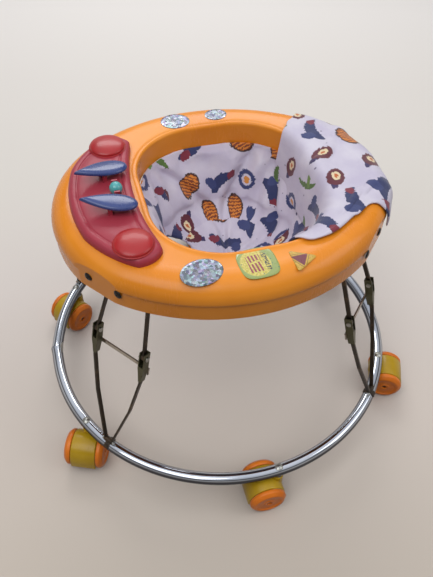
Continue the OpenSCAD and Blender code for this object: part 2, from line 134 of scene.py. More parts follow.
def place_selected(obj, before, after):
    """Move each selected vertex from its ring point in before to the one in after."""
    bm = bmesh.from_edit_mesh(obj.data)
    keys = {snapped(p): i for i, p in enumerate(before)}
    for v in bm.verts:
        if not v.select:
            continue
        i = keys.get(snapped(v.co))
        if i is None:
            i = min(range(len(before)), key=lambda k: (Vector(before[k]) - v.co).length_squared)
        v.co = after[i]
    bmesh.update_edit_mesh(obj.data)


def by_points(element):
    """A number that puts edges or faces in the order of their points."""
    points = sorted(v.index for v in element.verts)
    return (points[-1] * 1e5 + points[0]) * 1e5 + points[-2]


def loft(name, rings, start="open", end="open", closed=False):
    """A circle primitive set to the first ring, then extruded and shaped ring by ring.

    rings are lists of points in metres with the same count. start is open or face, and end
    is open, face or pole. closed joins the last ring to the first."""
    clear()
    count = len(rings[0])
    bpy.ops.mesh.primitive_circle_add(vertices=count, radius=1, location=(0, 0, 0))
    obj = bpy.context.object
    obj.name = obj.data.name = name
    circle = [v.co.copy() for v in obj.data.vertices]
    bpy.ops.object.mode_set(mode="EDIT")
    bpy.ops.mesh.select_mode(type="VERT")
    bpy.ops.mesh.select_all(action="SELECT")
    rings = [[Vector(snapped(p)) for p in ring] for ring in rings]
    place_selected(obj, circle, rings[0])
    if start == "face":
        bpy.ops.mesh.edge_face_add()
        bpy.ops.mesh.select_all(action="SELECT")
    bpy.ops.mesh.select_mode(type="EDGE")
    last = rings[0]
    for ring in rings[1:]:
        bpy.ops.mesh.extrude_edges_move(TRANSFORM_OT_translate={"value": (0, 0, 0)})
        place_selected(obj, last, ring)
        last = ring
    if closed:
        pick_open_edges(obj)
        bpy.ops.mesh.bridge_edge_loops()
    elif end == "face":
        bpy.ops.mesh.edge_face_add()
    elif end == "pole":
        bpy.ops.mesh.merge(type="CENTER")
    bpy.ops.mesh.select_all(action="SELECT")
    bpy.ops.mesh.normals_make_consistent(inside=False)
    # extruding leaves edges and faces in a chance order, which would change the cloth from run to run
    bm = bmesh.from_edit_mesh(obj.data)
    bm.verts.index_update()
    bm.edges.sort(key=by_points)
    bm.faces.sort(key=by_points)
    bmesh.update_edit_mesh(obj.data)
    bpy.ops.object.mode_set(mode="OBJECT")
    return obj


def flip_if(obj, wrong):
    """Turn the faces over if wrong(face) is true for most of the mesh's area."""
    if sum(f.area * (1 if wrong(f) else -1) for f in obj.data.polygons) > 0:
        edit(obj)
        bpy.ops.mesh.flip_normals()
        clear()


def use(obj, kind, **settings):
    """Add a modifier, set it and apply it."""
    take(obj)
    mod = obj.modifiers.new(kind.title(), kind)
    for key, value in settings.items():
        setattr(mod, key, value)
    bpy.ops.object.modifier_apply(modifier=mod.name)
    return obj


def smooth(obj, angle=35):
    """Smooth shading with edges sharper than angle kept."""
    take(obj)
    bpy.ops.object.shade_smooth_by_angle(angle=math.radians(angle))
    return obj


def join(name, *parts):
    """Join meshes into one piece."""
    take(parts[0])
    for part in parts[1:]:
        part.select_set(True)
    bpy.ops.object.join()
    obj = bpy.context.object
    obj.name = obj.data.name = name
    return obj


def copy_of(obj, name, place):
    """A copy with its own mesh, moved by the matrix."""
    new = obj.copy()
    new.data = obj.data.copy()
    new.name = new.data.name = name
    bpy.context.scene.collection.objects.link(new)
    new.data.transform(place)
    new.data.update()
    return new


def drop(obj):
    """Remove a pattern object after its copies are made."""
    bpy.data.objects.remove(obj)


def paint_over(obj, finish_name):
    """Give the object that finish and no other."""
    obj.data.materials.clear()
    obj.data.materials.append(finish_of(finish_name))


def dress(node, finish_name):
    """Give a kept CAD node its finish."""
    paint_over(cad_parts[node], finish_name)


def finish(obj, body, finish_name, slot, *nodes):
    """Give the piece its material and body, and hide what it stands for. The slot argument is not used."""
    paint_over(obj, finish_name)
    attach(obj, body)
    if nodes:
        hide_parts(*nodes)


def arc(cx, cy, r, a0, a1, count):
    """Points on an arc, angles in degrees."""
    return [
        (cx + r * math.cos(math.radians(a0 + (a1 - a0) * i / (count - 1))),
         cy + r * math.sin(math.radians(a0 + (a1 - a0) * i / (count - 1))))
        for i in range(count)
    ]


def turned(profile, count, place=Matrix.Identity(4)):
    """Rings of a turned shape: profile is (radius, height) in mm about Z, then placed."""
    turns = [(math.cos(2 * math.pi * i / count), math.sin(2 * math.pi * i / count)) for i in range(count)]
    return [[place @ Vector((r * c * MM, r * s * MM, z * MM)) for c, s in turns] for r, z in profile]


def rotation(axis, degrees):
    """Matrix that turns about a main axis."""
    return Matrix.Rotation(math.radians(degrees), 4, axis)


def shift(x, y, z):
    """Matrix that moves by millimetres."""
    return Matrix.Translation(Vector((x, y, z)) * MM)


# ---- outlines of the tray

OC = TRAY_HY - END_R
OD = (OC * OC - (TRAY_HX - END_R) ** 2) / (2 * (TRAY_HX - END_R))
SIDE_R = TRAY_HX + OD


def heading(azimuth):
    """Unit vector at an azimuth in degrees from the front."""
    a = math.radians(azimuth)
    return Vector((math.sin(a), -math.cos(a)))


def last_inside(test, far, halvings):
    """The greatest distance up to far at which the test holds."""
    lo, hi = 0.0, far
    for _ in range(halvings):
        middle = (lo + hi) / 2
        lo, hi = (middle, hi) if test(middle) else (lo, middle)
    return lo


def in_rounded_box(x, y, hx, hy, r):
    """True inside a rectangle of those half sizes and corner radius."""
    qx, qy = x - (hx - r), y - (hy - r)
    return x <= hx and y <= hy and not (qx > 0 and qy > 0 and qx * qx + qy * qy > r * r)


def oval_at(azimuth, off=0.0):
    """Point and outward normal of the tray's oval."""
    d = heading(azimuth)
    for centre, radius in (
        (Vector((-OD if d.x > 0 else OD, 0)), SIDE_R + off),
        (Vector((0, OC if d.y > 0 else -OC)), END_R + off),
    ):
        near = d.dot(centre)
        p = d * (near + math.sqrt(near * near - centre.length_squared + radius * radius))
        if radius == END_R + off or abs(p.y) * OD < OC * (abs(p.x) + OD):
            break
    return p, (p - centre).normalized()


def opening_at(azimuth, off=0.0):
    """Point on the seat opening, seen from the middle of the opening."""
    d = heading(azimuth)
    reach = last_inside(lambda m: in_rounded_box(abs(d.x * m), abs(d.y * m), OPEN_HX + off, OPEN_HY + off,
                                                 OPEN_R + off), 400.0, 40)
    return Vector((d.x * reach, d.y * reach + OPEN_Y))


# ---- shader nodes

class Line:
    """A node socket that can be written in ordinary sums."""

    def __init__(self, paint, socket):
        self.paint, self.socket = paint, socket

    def __add__(self, other): return self.paint.math("ADD", self, other)
    def __radd__(self, other): return self.paint.math("ADD", other, self)
    def __sub__(self, other): return self.paint.math("SUBTRACT", self, other)
    def __rsub__(self, other): return self.paint.math("SUBTRACT", other, self)
    def __mul__(self, other): return self.paint.math("MULTIPLY", self, other)
    def __rmul__(self, other): return self.paint.math("MULTIPLY", other, self)
    def __truediv__(self, other): return self.paint.math("DIVIDE", self, other)
    def __rtruediv__(self, other): return self.paint.math("DIVIDE", other, self)
    def __pow__(self, other): return self.paint.math("POWER", self, other)
    def __lt__(self, other): return self.paint.math("LESS_THAN", self, other)
    def __gt__(self, other): return self.paint.math("GREATER_THAN", self, other)
    def __abs__(self): return self.paint.math("ABSOLUTE", self)


def tint(text):
    """Linear colour from a six-digit sRGB code."""
    values = [int(text[i:i + 2], 16) / 255 for i in (0, 2, 4)]
    return [v / 12.92 if v <= 0.04045 else ((v + 0.055) / 1.055) ** 2.4 for v in values] + [1.0]


class Paint:
    """A material and the tree that it is painted with."""

    def __init__(self, name, **constants):
        self.material = bpy.data.materials.new(name)
        self.material.use_nodes = True
        self.tree = self.material.node_tree
        self.shader = self.tree.nodes["Principled BSDF"]
        self.set(**constants)

    @classmethod
    def over(cls, tree, shader):
        """A painter for a tree that is there already."""
        painter = cls.__new__(cls)
        painter.tree, painter.shader = tree, tree.nodes[shader]
        return painter

    def seen(self):
        """1 for rays from the camera and for those that metal and glass send on."""
        path = self.node("ShaderNodeLightPath").socket.node
        camera, glossy, through = (Line(self, path.outputs[f"Is {kind} Ray"])
                                   for kind in ("Camera", "Glossy", "Transmission"))
        return self.math("ADD", camera + glossy, through, clamp=True)

    def set(self, **values):
        """Constants and links of the shader's sockets; a space is written as _."""
        for key, value in values.items():
            self._feed(self.shader.inputs[key.replace("_", " ")], value)

    def _feed(self, socket, value):
        """Link or set a socket; a colour may be given as its six-digit code."""
        if isinstance(value, Line):
            self.tree.links.new(value.socket, socket)
        elif value is not None:
            socket.default_value = tint(value) if isinstance(value, str) else value

    def node(self, kind, settings=None, inputs=None, out=0):
        """A node of that type, its settings, then the values or links of its sockets."""
        node = self.tree.nodes.new(kind)
        for key, value in (settings or {}).items():
            if key == "stops":
                ramp = node.color_ramp
                while len(ramp.elements) < len(value):
                    ramp.elements.new(0.5)
                for element, (position, colour) in zip(ramp.elements, value):
                    element.position, element.color = position, colour
            else:
                setattr(node, key, value)
        for key, value in (inputs or {}).items():
            self._feed(node.inputs[key], value)
        return Line(self, node.outputs[out])

    def math(self, operation, a, b=None, c=None, clamp=False):
        return self.node("ShaderNodeMath", {"operation": operation, "use_clamp": clamp},
                         {i: v for i, v in enumerate((a, b, c)) if v is not None})

    def vector(self, operation, a, b):
        second = "Scale" if operation == "SCALE" else 1
        return self.node("ShaderNodeVectorMath", {"operation": operation}, {0: a, second: b})

    def place(self):
        """Object coordinates, in metres."""
        return self.node("ShaderNodeTexCoord", out="Object")

    def split(self, vector):
        node = self.node("ShaderNodeSeparateXYZ", None, {0: vector}).socket.node
        return [Line(self, s) for s in node.outputs]

    def grey(self, value):
        return self.node("ShaderNodeCombineColor", None, {0: value, 1: value, 2: value})

    def mapped(self, vector, move=(0, 0, 0), turn=(0, 0, 0), scale=(1, 1, 1)):
        return self.node("ShaderNodeMapping", None,
                         {"Vector": vector, "Location": move, "Rotation": turn, "Scale": scale})

    def noise(self, vector, scale, detail=3.0, roughness=0.5, distortion=0.0):
        return self.node("ShaderNodeTexNoise", None,
                         {"Vector": vector, "Scale": scale, "Detail": detail,
                          "Roughness": roughness, "Distortion": distortion})

    def cells(self, vector, scale, randomness, out="Distance"):
        return self.node("ShaderNodeTexVoronoi", None,
                         {"Vector": self.vector("SCALE", vector, scale), "Scale": 1.0,
                          "Randomness": randomness}, out)

    def ramp(self, value, *stops):
        return self.node("ShaderNodeValToRGB", {"stops": stops}, {0: value})

    def span(self, value, a, b, c=0.0, d=1.0):
        """Map a..b to c..d, held at both ends."""
        return self.node("ShaderNodeMapRange", None, {0: value, 1: a, 2: b, 3: c, 4: d})

    def mix(self, factor, a, b, kind="MIX"):
        """Colour mix."""
        return self.node("ShaderNodeMix", {"data_type": "RGBA", "blend_type": kind}, {0: factor, 6: a, 7: b}, 2)

    def run(self, value, low, high, a, b):
        """Colour that runs from a to b as value goes from low to high."""
        return self.mix(self.span(value, low, high), a, b)

    def bump(self, height, strength=0.3, distance=0.001, normal=None):
        return self.node("ShaderNodeBump", None,
                         {"Height": height, "Strength": strength, "Distance": distance,
                          "Normal": normal})


def shaded(colour, factor, lift=0.0):
    """The colour made darker or lighter."""
    return [min(1, c * factor + lift) for c in colour[:3]] + [1]


def metal(name, code, roughness, grain=900.0, bump=0.06, metallic=1.0, stain=None, stretch=(1, 1, 1)):
    """Plated or passivated steel with fine grain and slow changes of tone."""
    p = Paint(name, Metallic=metallic)
    at = p.place()
    slow = p.noise(at, 18.0, 3.0, 0.6)
    fine = p.noise(p.mapped(at, scale=stretch), grain, 2.0, 0.5)
    base = p.run(slow, 0.35, 0.68, shaded(tint(code), 0.78), code)
    if stain:
        base = p.run(p.noise(at, 55.0, 4.0, 0.65), 0.52, 0.72, base, stain)
    p.set(Base_Color=base, Normal=p.bump(fine, bump, 0.0002),
          Roughness=p.span(slow, 0.3, 0.7, roughness - 0.04, roughness + 0.04)
          + p.span(fine, 0.3, 0.7, -0.02, 0.03))
    return p.material


def plastic(name, code, roughness, shade, coat=0.0, cloud=14.0, warm=None, gloss=0.5):
    """Moulded plastic: slight clouding, scuffs and a fine rippled skin."""
    p = Paint(name, Coat_Weight=coat, Coat_Roughness=0.08, Specular_IOR_Level=gloss)
    at = p.place()
    slow = p.noise(at, cloud, 4.0, 0.55, 0.4)
    ripple = p.noise(at, 260.0, 2.0, 0.5)
    scuff = p.noise(p.mapped(at, turn=(0.3, 0.5, 0.9), scale=(1, 6, 1)), 70.0, 3.0, 0.6)
    colour = tint(code)
    base = p.run(slow, 0.32, 0.68, shaded(colour, shade), warm or colour)
    base = p.mix(p.span(scuff, 0.62, 0.78, 0.0, 0.12), base, shaded(colour, 1.15, 0.03))
    p.set(Base_Color=base, Normal=p.bump(ripple, 0.05, 0.0006),
          Roughness=p.span(slow, 0.3, 0.7, roughness - 0.04, roughness + 0.05)
          + p.span(scuff, 0.58, 0.75, 0.0, 0.10))
    return p.material


def chrome():
    """Bright plating with a slight haze, a few pits and a painted dark reflection on the underside."""
    p = Paint("chrome_plate", Metallic=1.0)
    at = p.place()
    slow = p.noise(at, 9.0, 2.0, 0.5)
    haze = p.noise(at, 45.0, 4.0, 0.6)
    pits = p.noise(at, 700.0, 2.0, 0.6)
    base = p.run(slow, 0.35, 0.7, "a6aab4", "c0c4cc")
    base = p.mix(p.span(pits, 0.66, 0.74, 0, 0.5), base, "77736c")
    # painted dark reflection: the underside of the tube is darkened as if it mirrored a dark room below
    _, _, height = p.split(at)
    under = p.span(height, (RING_Z + 4.0) * MM, (RING_Z + 7.4) * MM, 0.92, 0.0)
    p.set(Base_Color=p.mix(under, base, "34363e"),
          Roughness=p.span(haze, 0.45, 0.75, 0.045, 0.16) + p.span(pits, 0.66, 0.74, 0, 0.15),
          Normal=p.bump(p.noise(at, 120.0, 2.0, 0.5), 0.03, 0.0005))
    return p.material


def cloth_weave(p, at, size=0.00075):
    """Height of a plain weave; at is in metres on the cloth."""
    x, y, _ = p.split(at)
    return p.math("SINE", x * (math.pi / size)) * p.math("SINE", y * (math.pi / size))


def spot(u, v, rx, ry):
    """Signed size of an ellipse about the origin: below 1 inside."""
    return ((u / rx) ** 2.0 + (v / ry) ** 2.0) ** 0.5


def inside(value, edge=1.0, soft=0.03):
    """1 where value is below edge, fading to 0 over the soft width."""
    return value.paint.span(value, edge - soft, edge + soft, 1.0, 0.0)


def seat_cloth():
    """Pale lilac cloth with a scattered print of plain shapes."""
    p = Paint("printed_cloth", Sheen_Weight=0.25, Sheen_Roughness=0.5)
    at = p.node("ShaderNodeUVMap", {"uv_map": "cloth"})
    # one shape to a cell of a brick grid, each moved and turned at random
    x, y, _ = p.split(p.vector("SCALE", at, 1 / PRINT_CELL))
    row = p.math("FLOOR", y)
    x = x + p.math("MODULO", row, 2.0) * 0.5
    column = p.math("FLOOR", x)
    ident = p.node("ShaderNodeCombineXYZ", None, {0: column, 1: row, 2: 3.7})
    chance, value = (p.node("ShaderNodeTexWhiteNoise", {"noise_dimensions": "3D"}, {"Vector": ident}, out)
                     for out in ("Color", "Value"))
    r1, r2, r3 = p.split(chance)
    u = (x - column - 0.5 - (r1 - 0.5) * 0.24) * PRINT_CELL
    v = (y - row - 0.5 - (r2 - 0.5) * 0.24) * PRINT_CELL
    turn = r3 * 6.283
    cos, sin = p.math("COSINE", turn), p.math("SINE", turn)
    wobble = (p.noise(at, 260.0, 1.0, 0.5) - 0.5) * 0.0042
    a = (u * cos + v * sin) * 0.66 + wobble
    b = (v * cos - u * sin) * 0.66 + wobble

    striped = p.mix(p.math("SINE", a * 1900.0) > 0.1, "d9822b", "7a3416")
    body = spot(a, b, 0.0150, 0.0108)
    leaf = spot(a, b + a * a * 22.0, 0.0200, 0.0062)
    fin = spot(a + 0.010, b - 0.005, 0.0052, 0.0078)
    tip = spot(a - 0.0145, b + 0.004, 0.0062, 0.0042)
    drop_shape = spot(a, b, 0.0120, 0.0085)
    tail = spot(a - 0.0105, b, 0.0075, 0.0032)
    eye = spot(a + 0.002, b, 0.0058, 0.0042)
    core = spot(a + 0.002, b, 0.0026, 0.0020)
    blade = spot(a, b - a * a * 18.0, 0.0170, 0.0034)
    second_blade = spot(a - 0.004, b - 0.0055, 0.0030, 0.0072)
    loop = abs(spot(a, b, 0.0085, 0.0085) - 1.0)
    centre = spot(a, b, 0.0038, 0.0038)
    colour = p.run(p.noise(at, 22.0, 3.0, 0.5), 0.35, 0.7, "c3bbd0", "d6d0dd")
    for low, high, *layers in (
            (-0.01, 0.20, (inside(body), "3a1c10"), (inside(body, 0.86), striped)),
            (0.20, 0.55, (inside(leaf), "27305f"), (inside(fin), "343e70"), (inside(tip), "7c2338")),
            (0.55, 0.75, (inside(tail), "35295a"), (inside(drop_shape), "5e1a2b"), (inside(eye), "e3cfa8"),
             (inside(core), "c4652a")),
            (0.75, 0.87, (inside(blade), "50702f"), (inside(second_blade), "6b8a3a")),
            (0.87, 1.01, (inside(loop, 0.26, 0.05), "303a6b"), (inside(centre), "d58a35"))):
        chosen = (value > low) * (value < high)
        for mask, ink in layers:
            colour = p.mix(chosen * mask, colour, ink)
    colour = p.mix(inside(p.cells(at, 38.0, 1.0), 0.055, 0.012) * 0.75, colour, "4a3a63")

    weave = cloth_weave(p, at)
    crease = p.noise(at, 34.0, 4.0, 0.6)
    p.set(Base_Color=p.mix(1.0, colour, p.grey(p.span(weave, -1, 1, 0.90, 1.0)), "MULTIPLY"),
          Roughness=p.span(crease, 0.3, 0.7, 0.62, 0.78),
          Normal=p.bump(weave, 0.25, 0.0003, p.bump(crease, 0.35, 0.004)))
    return p.material


def foil():
    """Diffraction foil: silver with a shifting mosaic of pale colours."""
    p = Paint("mosaic_foil", Metallic=0.85)
    at = p.place()
    r, g, b = p.split(p.cells(at, 260.0, 0.8, "Color"))
    wide = p.noise(at, 60.0, 3.0, 0.6, 1.0)
    hue = p.node("ShaderNodeCombineColor", {"mode": "HSV"},
                 {0: p.math("FRACT", r * 0.22 + wide * 0.5 + 0.25), 1: g * 0.32 + 0.10, 2: b * 0.34 + 0.12})
    p.set(Base_Color=hue, Roughness=p.span(g, 0, 1, 0.16, 0.42), Normal=p.bump(r, 0.35, 0.0004))
    return p.material


def label_print():
    """Yellow label with bars and a round mark, on the piece's own UV map."""
    p = Paint("printed_label", Coat_Weight=0.6, Coat_Roughness=0.1)
    at = p.node("ShaderNodeUVMap", {"uv_map": "label"})
    u, v, _ = p.split(at)
    base = p.run(p.noise(at, 9.0, 2.0, 0.5), 0.4, 0.6, "b9a93c", "d6c765")
    colour = p.mix(inside(spot(u + 0.12, v, 0.78, 0.86), 1.0, 0.02), "8f9f55", base)
    bars = (p.math("SINE", u * 34.0 + v * 2.2) > -0.1) * (abs(u + 0.16) < 0.36) * (abs(v + 0.02) < 0.56)
    gap = (abs(v - u * 0.2 - 0.10) < 0.06) * (abs(u + 0.16) < 0.30)
    colour = p.mix(bars * (1.0 - gap), colour, "8c2440")
    flecks = p.noise(p.vector("MULTIPLY", at, (7.0, 16.0, 1.0)), 1.0, 2.0, 0.6)
    column = (abs(u - 0.44) < 0.12) * (abs(v) < 0.62) * (flecks > 0.5)
    colour = p.mix(column, colour, "2c2f33")
    outer = p.math("MAXIMUM", abs(u), abs(v))
    colour = p.mix((p.cells(at, 4.6, 0.5) < 0.16) * (outer > 0.66), colour, "3c6a6e")
    p.set(Base_Color=colour, Roughness=p.span(p.noise(at, 4.0, 2.0, 0.5), 0.3, 0.7, 0.22, 0.38),
          Normal=p.bump(p.noise(at, 2.2, 2.0, 0.5), 0.1, 0.0006))
    return p.material


def triangle_print():
    """Yellow mark with a dark triangle inside a yellow border."""
    p = Paint("printed_mark", Coat_Weight=0.3, Coat_Roughness=0.1)
    at = p.node("ShaderNodeUVMap", {"uv_map": "label"})
    u, v, _ = p.split(at)
    wear = p.noise(at, 6.0, 3.0, 0.5)
    colour = p.run(wear, 0.35, 0.65, "b08a20", "cfa93c")
    # distances to the three sides, with v across the label and u along the deck
    sides = p.math("MINIMUM", u * 0.855 + v * 0.52 + 0.62, u * -0.855 + v * 0.52 + 0.58)
    sides = p.math("MINIMUM", sides, v * -1.0 + 0.50)
    colour = p.run(sides, 0.20, 0.24, colour, "6f2233")
    colour = p.mix((sides > 0.08) * (sides < 0.12), colour, "7a5a24")
    p.set(Base_Color=colour, Roughness=p.span(wear, 0.3, 0.7, 0.25, 0.4),
          Normal=p.bump(wear, 0.08, 0.0005))
    return p.material


METALS = {
    "zinc": ("zinc_plate", "a9a9a4", 0.34, {"stain": "8f8878"}),
    "strip": ("dark_strip_steel", "3b332b", 0.42,
              {"metallic": 0.75, "stain": "5a4836", "stretch": (1, 1, 0.06), "grain": 700, "bump": 0.1}),
    "olive": ("olive_passivated_sheet", "595740", 0.38, {"metallic": 0.75, "stain": "38331f"}),
    "bar": ("bright_strip_steel", "b3aca2", 0.3, {"stain": "7d756a"}),
    "black": ("black_oxide", "1c1a18", 0.38, {"metallic": 0.6}),
}
PLASTICS = {
    "hood": ("hood_yellow", "b58e14", 0.3, 0.84, {"coat": 0.04, "warm": "be9a1e", "gloss": 0.32}),
    "wheel": ("wheel_orange", "e0741a", 0.34, 0.86, {"cloud": 30, "warm": "e57c20", "gloss": 0.32}),
    "tray": ("tray_orange", "e88a20", 0.28, 0.92, {"coat": 0.05, "cloud": 7, "warm": "ed942c", "gloss": 0.3}),
    "maroon": ("panel_maroon", "a63444", 0.46, 0.86, {"coat": 0.06, "gloss": 0.4}),
    "darkred": ("pod_red", "b0141a", 0.36, 0.84, {"coat": 0.15}),
    "navy": ("lever_navy", "2c407f", 0.26, 0.8, {"coat": 0.3}),
    "teal": ("ball_teal", "53b3b5", 0.2, 0.85, {"coat": 0.5}),
}
OTHERS = {"chrome": chrome, "cloth": seat_cloth, "foil": foil, "label": label_print, "mark": triangle_print}
FINISHES = {}


def finish_of(name):
    """The material of that name, made when it is first asked for."""
    if name not in FINISHES:
        if name in OTHERS:
            FINISHES[name] = OTHERS[name]()
        else:
            make, table = (metal, METALS) if name in METALS else (plastic, PLASTICS)
            *values, more = table[name]
            FINISHES[name] = make(*values, **more)
    return FINISHES[name]


# ---- cloth

def puff(obj, cap, fixed):
    """Swell a closed cloth piece with pressure, then keep each point within cap of its start."""
    take(obj)
    points = obj.data.vertices
    before = [v.co.copy() for v in points]
    group = obj.vertex_groups.new(name="hold")
    group.add([v.index for v in points if fixed(v.co)], 1.0, "REPLACE")
    mod = obj.modifiers.new("Cloth", "CLOTH")
    cloth = mod.settings
    cloth.quality = 5
    cloth.mass = 0.2
    cloth.use_pressure = True
    cloth.uniform_pressure_force = 4.0
    cloth.tension_stiffness = cloth.compression_stiffness = 12
    cloth.bending_stiffness = 0.6
    cloth.effector_weights.gravity = 0
    cloth.vertex_group_mass = "hold"
    for number in range(1, 21):
        bpy.context.scene.frame_set(number)
    bpy.ops.object.modifier_apply(modifier=mod.name)
    bpy.context.scene.frame_set(1)
    for v, start in zip(obj.data.vertices, before):
        move = v.co - start
        if move.length > cap:
            v.co = start + move * (cap / move.length)
    obj.vertex_groups.clear()


def uv_layer(obj, name, place):
    """Write a UV map from each face corner's position and its face's middle."""
    layer = obj.data.uv_layers.new(name=name)
    for face in obj.data.polygons:
        middle = face.center
        for i in face.loop_indices:
            co = obj.data.vertices[obj.data.loops[i].vertex_index].co
            layer.data[i].uv = place(co, middle)


# ---- properties

class WalkerSizes(bpy.types.PropertyGroup):
    """Sizes that the moulded and bent pieces are made to"""
    tube: bpy.props.FloatProperty(name="Ring tube", description="Outside diameter of the base ring's tube",
                                  default=0.019, min=0.016, max=0.025, unit="LENGTH")
    gap: bpy.props.FloatProperty(name="Ring joint", description="Gap at the butt joint of the base ring",
                                 default=0.0005, min=0.0002, max=0.002, unit="LENGTH")
    wall: bpy.props.FloatProperty(name="Tray wall", description="Wall thickness of the tray moulding",
                                  default=0.0026, min=0.002, max=0.004, unit="LENGTH")
    cloth: bpy.props.FloatProperty(name="Seat cloth", description="Thickness of the padded seat cloth",
                                   default=0.007, min=0.004, max=0.012, unit="LENGTH")


class WalkerColours(bpy.types.PropertyGroup):
    """Colours of what the walker stands on"""
    floor: bpy.props.FloatVectorProperty(name="Floor tint", description="Tint laid over the pale floor",
                                         subtype="COLOR", size=4, min=0, max=1, default=(1, 1, 1, 1))


# ---- base ring and casters

class WALKER_OT_ring(bpy.types.Operator):
    """Bend the chrome base ring and finish what is fixed to it"""
    bl_idname = "walker.ring"
    bl_label = "Base ring"

    def execute(self, context):
        sizes = context.scene.walker_sizes
        half_gap = sizes.gap / 2 / (RING_R * MM)
        steps = 216
        turns = [2 * math.pi * k / 28 for k in range(28)]
        rings = []
        for i in range(steps + 1):
            a = math.radians(JOINT_AZ) + half_gap + (2 * math.pi - 2 * half_gap) * i / steps
            out = Vector((math.sin(a), -math.cos(a), 0))
            # the two ends meet at a slight angle and are flared by the cut
            end = min(i, steps - i) * 2 * math.pi * RING_R / steps
            kink, flare = 2.6 * math.exp(-end / 16.0), 0.35 * math.exp(-(end / 2.5) ** 2)
            mid = out * (RING_R + kink) * MM + Vector((0, 0, RING_Z * MM))
            rings.append([mid + (out * math.cos(t) + Vector((0, 0, math.sin(t)))) * (sizes.tube / 2 + flare * MM)
                          for t in turns])
        ring = loft("ring_tube", rings)

        def inward(face):
            middle = Vector((face.center.x, face.center.y, 0)).normalized() * RING_R
            return (face.center - (middle + Vector((0, 0, RING_Z))) * MM).dot(face.normal) < 0

        flip_if(ring, inward)
        use(ring, "SOLIDIFY", thickness=0.0012, offset=-1)
        smooth(ring, 40)
        finish(ring, "base", "chrome", "chrome_tube", "base_ring")
        dress("ring_hardware", "zinc")
        dress("ring_saddles", "strip")
        return {"FINISHED"}


def caster_place(i):
    """Matrix from a caster's own frame to its place on the ring."""
    a = math.radians(CASTER_AZ[i])
    return shift(RING_R * math.sin(a), -RING_R * math.cos(a), 0) @ rotation("Z", CASTER_YAW[i])


def hood_strip():
    """Cross-section of the hood: a thin rounded strip as (radius, width)."""
    r, half, thick, corner = HOOD_R, HOOD_HALF, 2.4, 2.0
    edge = [(r - thick, half - 1.0), (r - thick + 0.8, half)]
    edge += [(r - corner + corner * math.sin(t), half - corner + corner * math.cos(t))
             for t in map(math.radians, (0, 30, 60, 90))]
    return [(r - thick, -half + 1.0)] + edge + [(q, -w) for q, w in reversed(edge[1:])]


def hood_pattern():
    """One hood in the caster's own frame: stem on Z, axle along Y at the trail."""
    axle = Vector((TRAIL, 0, AXLE_Z))
    rings = []

    def add(slide=Vector()):
        rings.append([(axle + out * q + Vector((0, w, 0)) + slide) * MM for q, w in hood_strip()])

    for k in range(20):
        t = math.radians(176 - 8.6 * k)
        out = Vector((math.cos(t), 0, math.sin(t)))
        add()
    down = Vector((0.06, 0, -1)).normalized()
    for step, forward in ((2.0, 0.5), (6.0, 0.9), (11.0, 0.9), (15.5, 0.9)):
        add(down * step + Vector((forward, 0, 0)))
    shell = loft("hood", rings, "face", "face")
    # web that carries the axle
    web_out = arc(TRAIL, AXLE_Z, 25.6, 180, -20, 21)
    web_out += [(TRAIL + 14, AXLE_Z - 11), (TRAIL, AXLE_Z - 12), (TRAIL - 14, AXLE_Z - 8), (TRAIL - 22, AXLE_Z - 3)]
    web = loft("web", [[Vector((x, y, z)) * MM for x, z in web_out] for y in (-2.5, 2.5)], "face", "face")
    use(web, "BEVEL", width=0.0004, segments=2, limit_method="ANGLE")
    barrel = loft("barrel", turned([(4.1, 33.4), (8.4, 33.4), (9, 34.2), (9, 55), (8.8, 57.6), (7.6, 58.9),
                                    (4.1, 59.1)], 40), closed=True)
    return smooth(join("hood_pattern", shell, web, barrel), 32)


def wheel_pattern():
    """Both wheels of one caster, each turned and bevelled."""
    y0 = HOOD_HALF + 0.5
    profile = [(3.05, 3.2), (11.2, 3.2), (12.0, 4.0), (12.0, y0 - 0.6), (12.4, y0), (27.6, y0), (28.5, y0 + 0.35),
               (29.0, y0 + 1.3), (29.0, y0 + 5.2), (28.7, y0 + 6.1), (27.9, y0 + 7.0), (24.9, y0 + 10.0),
               (24.0, y0 + 10.6), (22.8, y0 + 10.9), (20.6, y0 + 10.9), (20.0, y0 + 10.6), (19.6, y0 + 9.9),
               (18.6, y0 + 9.5), (9.4, y0 + 9.3), (8.6, y0 + 9.5), (8.1, y0 + 10.1), (7.4, y0 + 10.3),
               (5.0, y0 + 10.3), (4.3, y0 + 10.0), (4.0, y0 + 9.2), (4.0, y0 + 5.6), (3.05, y0 + 5.6)]
    pair = [loft("wheel", turned(profile, 72, shift(TRAIL, 0, AXLE_Z) @ rotation("X", -90 * side)), closed=True)
            for side in (1, -1)]
    return smooth(join("wheel_pattern", *pair), 28)


class WALKER_OT_casters(bpy.types.Operator):
    """Mould the six casters with their hoods and twin wheels"""
    bl_idname = "walker.casters"
    bl_label = "Casters"

    def execute(self, context):
        hood, wheels = hood_pattern(), wheel_pattern()
        for i in range(6):
            n = i + 1
            finish(copy_of(hood, f"hood_cover_{n}", caster_place(i)), f"caster_{n}",
                   "hood", "yellow_plastic", f"caster_hood_{n}")
            finish(copy_of(wheels, f"twin_wheel_{n}", caster_place(i)), f"wheels_{n}",
                   "wheel", "wheel_orange", f"caster_wheels_{n}")
            dress(f"caster_axle_{n}", "black")
        drop(hood)
        drop(wheels)
        return {"FINISHED"}


class WALKER_OT_legs(bpy.types.Operator):
    """Finish the four folding leg frames"""
    bl_idname = "walker.legs"
    bl_label = "Leg frames"

    def execute(self, context):
        for leg in LEGS:
            for part, name in (("lower_bars", "strip"), ("upper_bars", "strip"), ("knee_channels", "olive"),
                               ("crossbar", "bar"), ("leg_pins", "zinc"), ("top_rod", "zinc")):
                dress(f"{part}_{leg}", name)
        return {"FINISHED"}


# ---- tray

def tray_ring(azimuths, off, z):
    """Points round the tray's oval, moved out by off."""
    return [Vector((p.x + n.x * off, p.y + n.y * off, z)) * MM for p, n in map(oval_at, azimuths)]


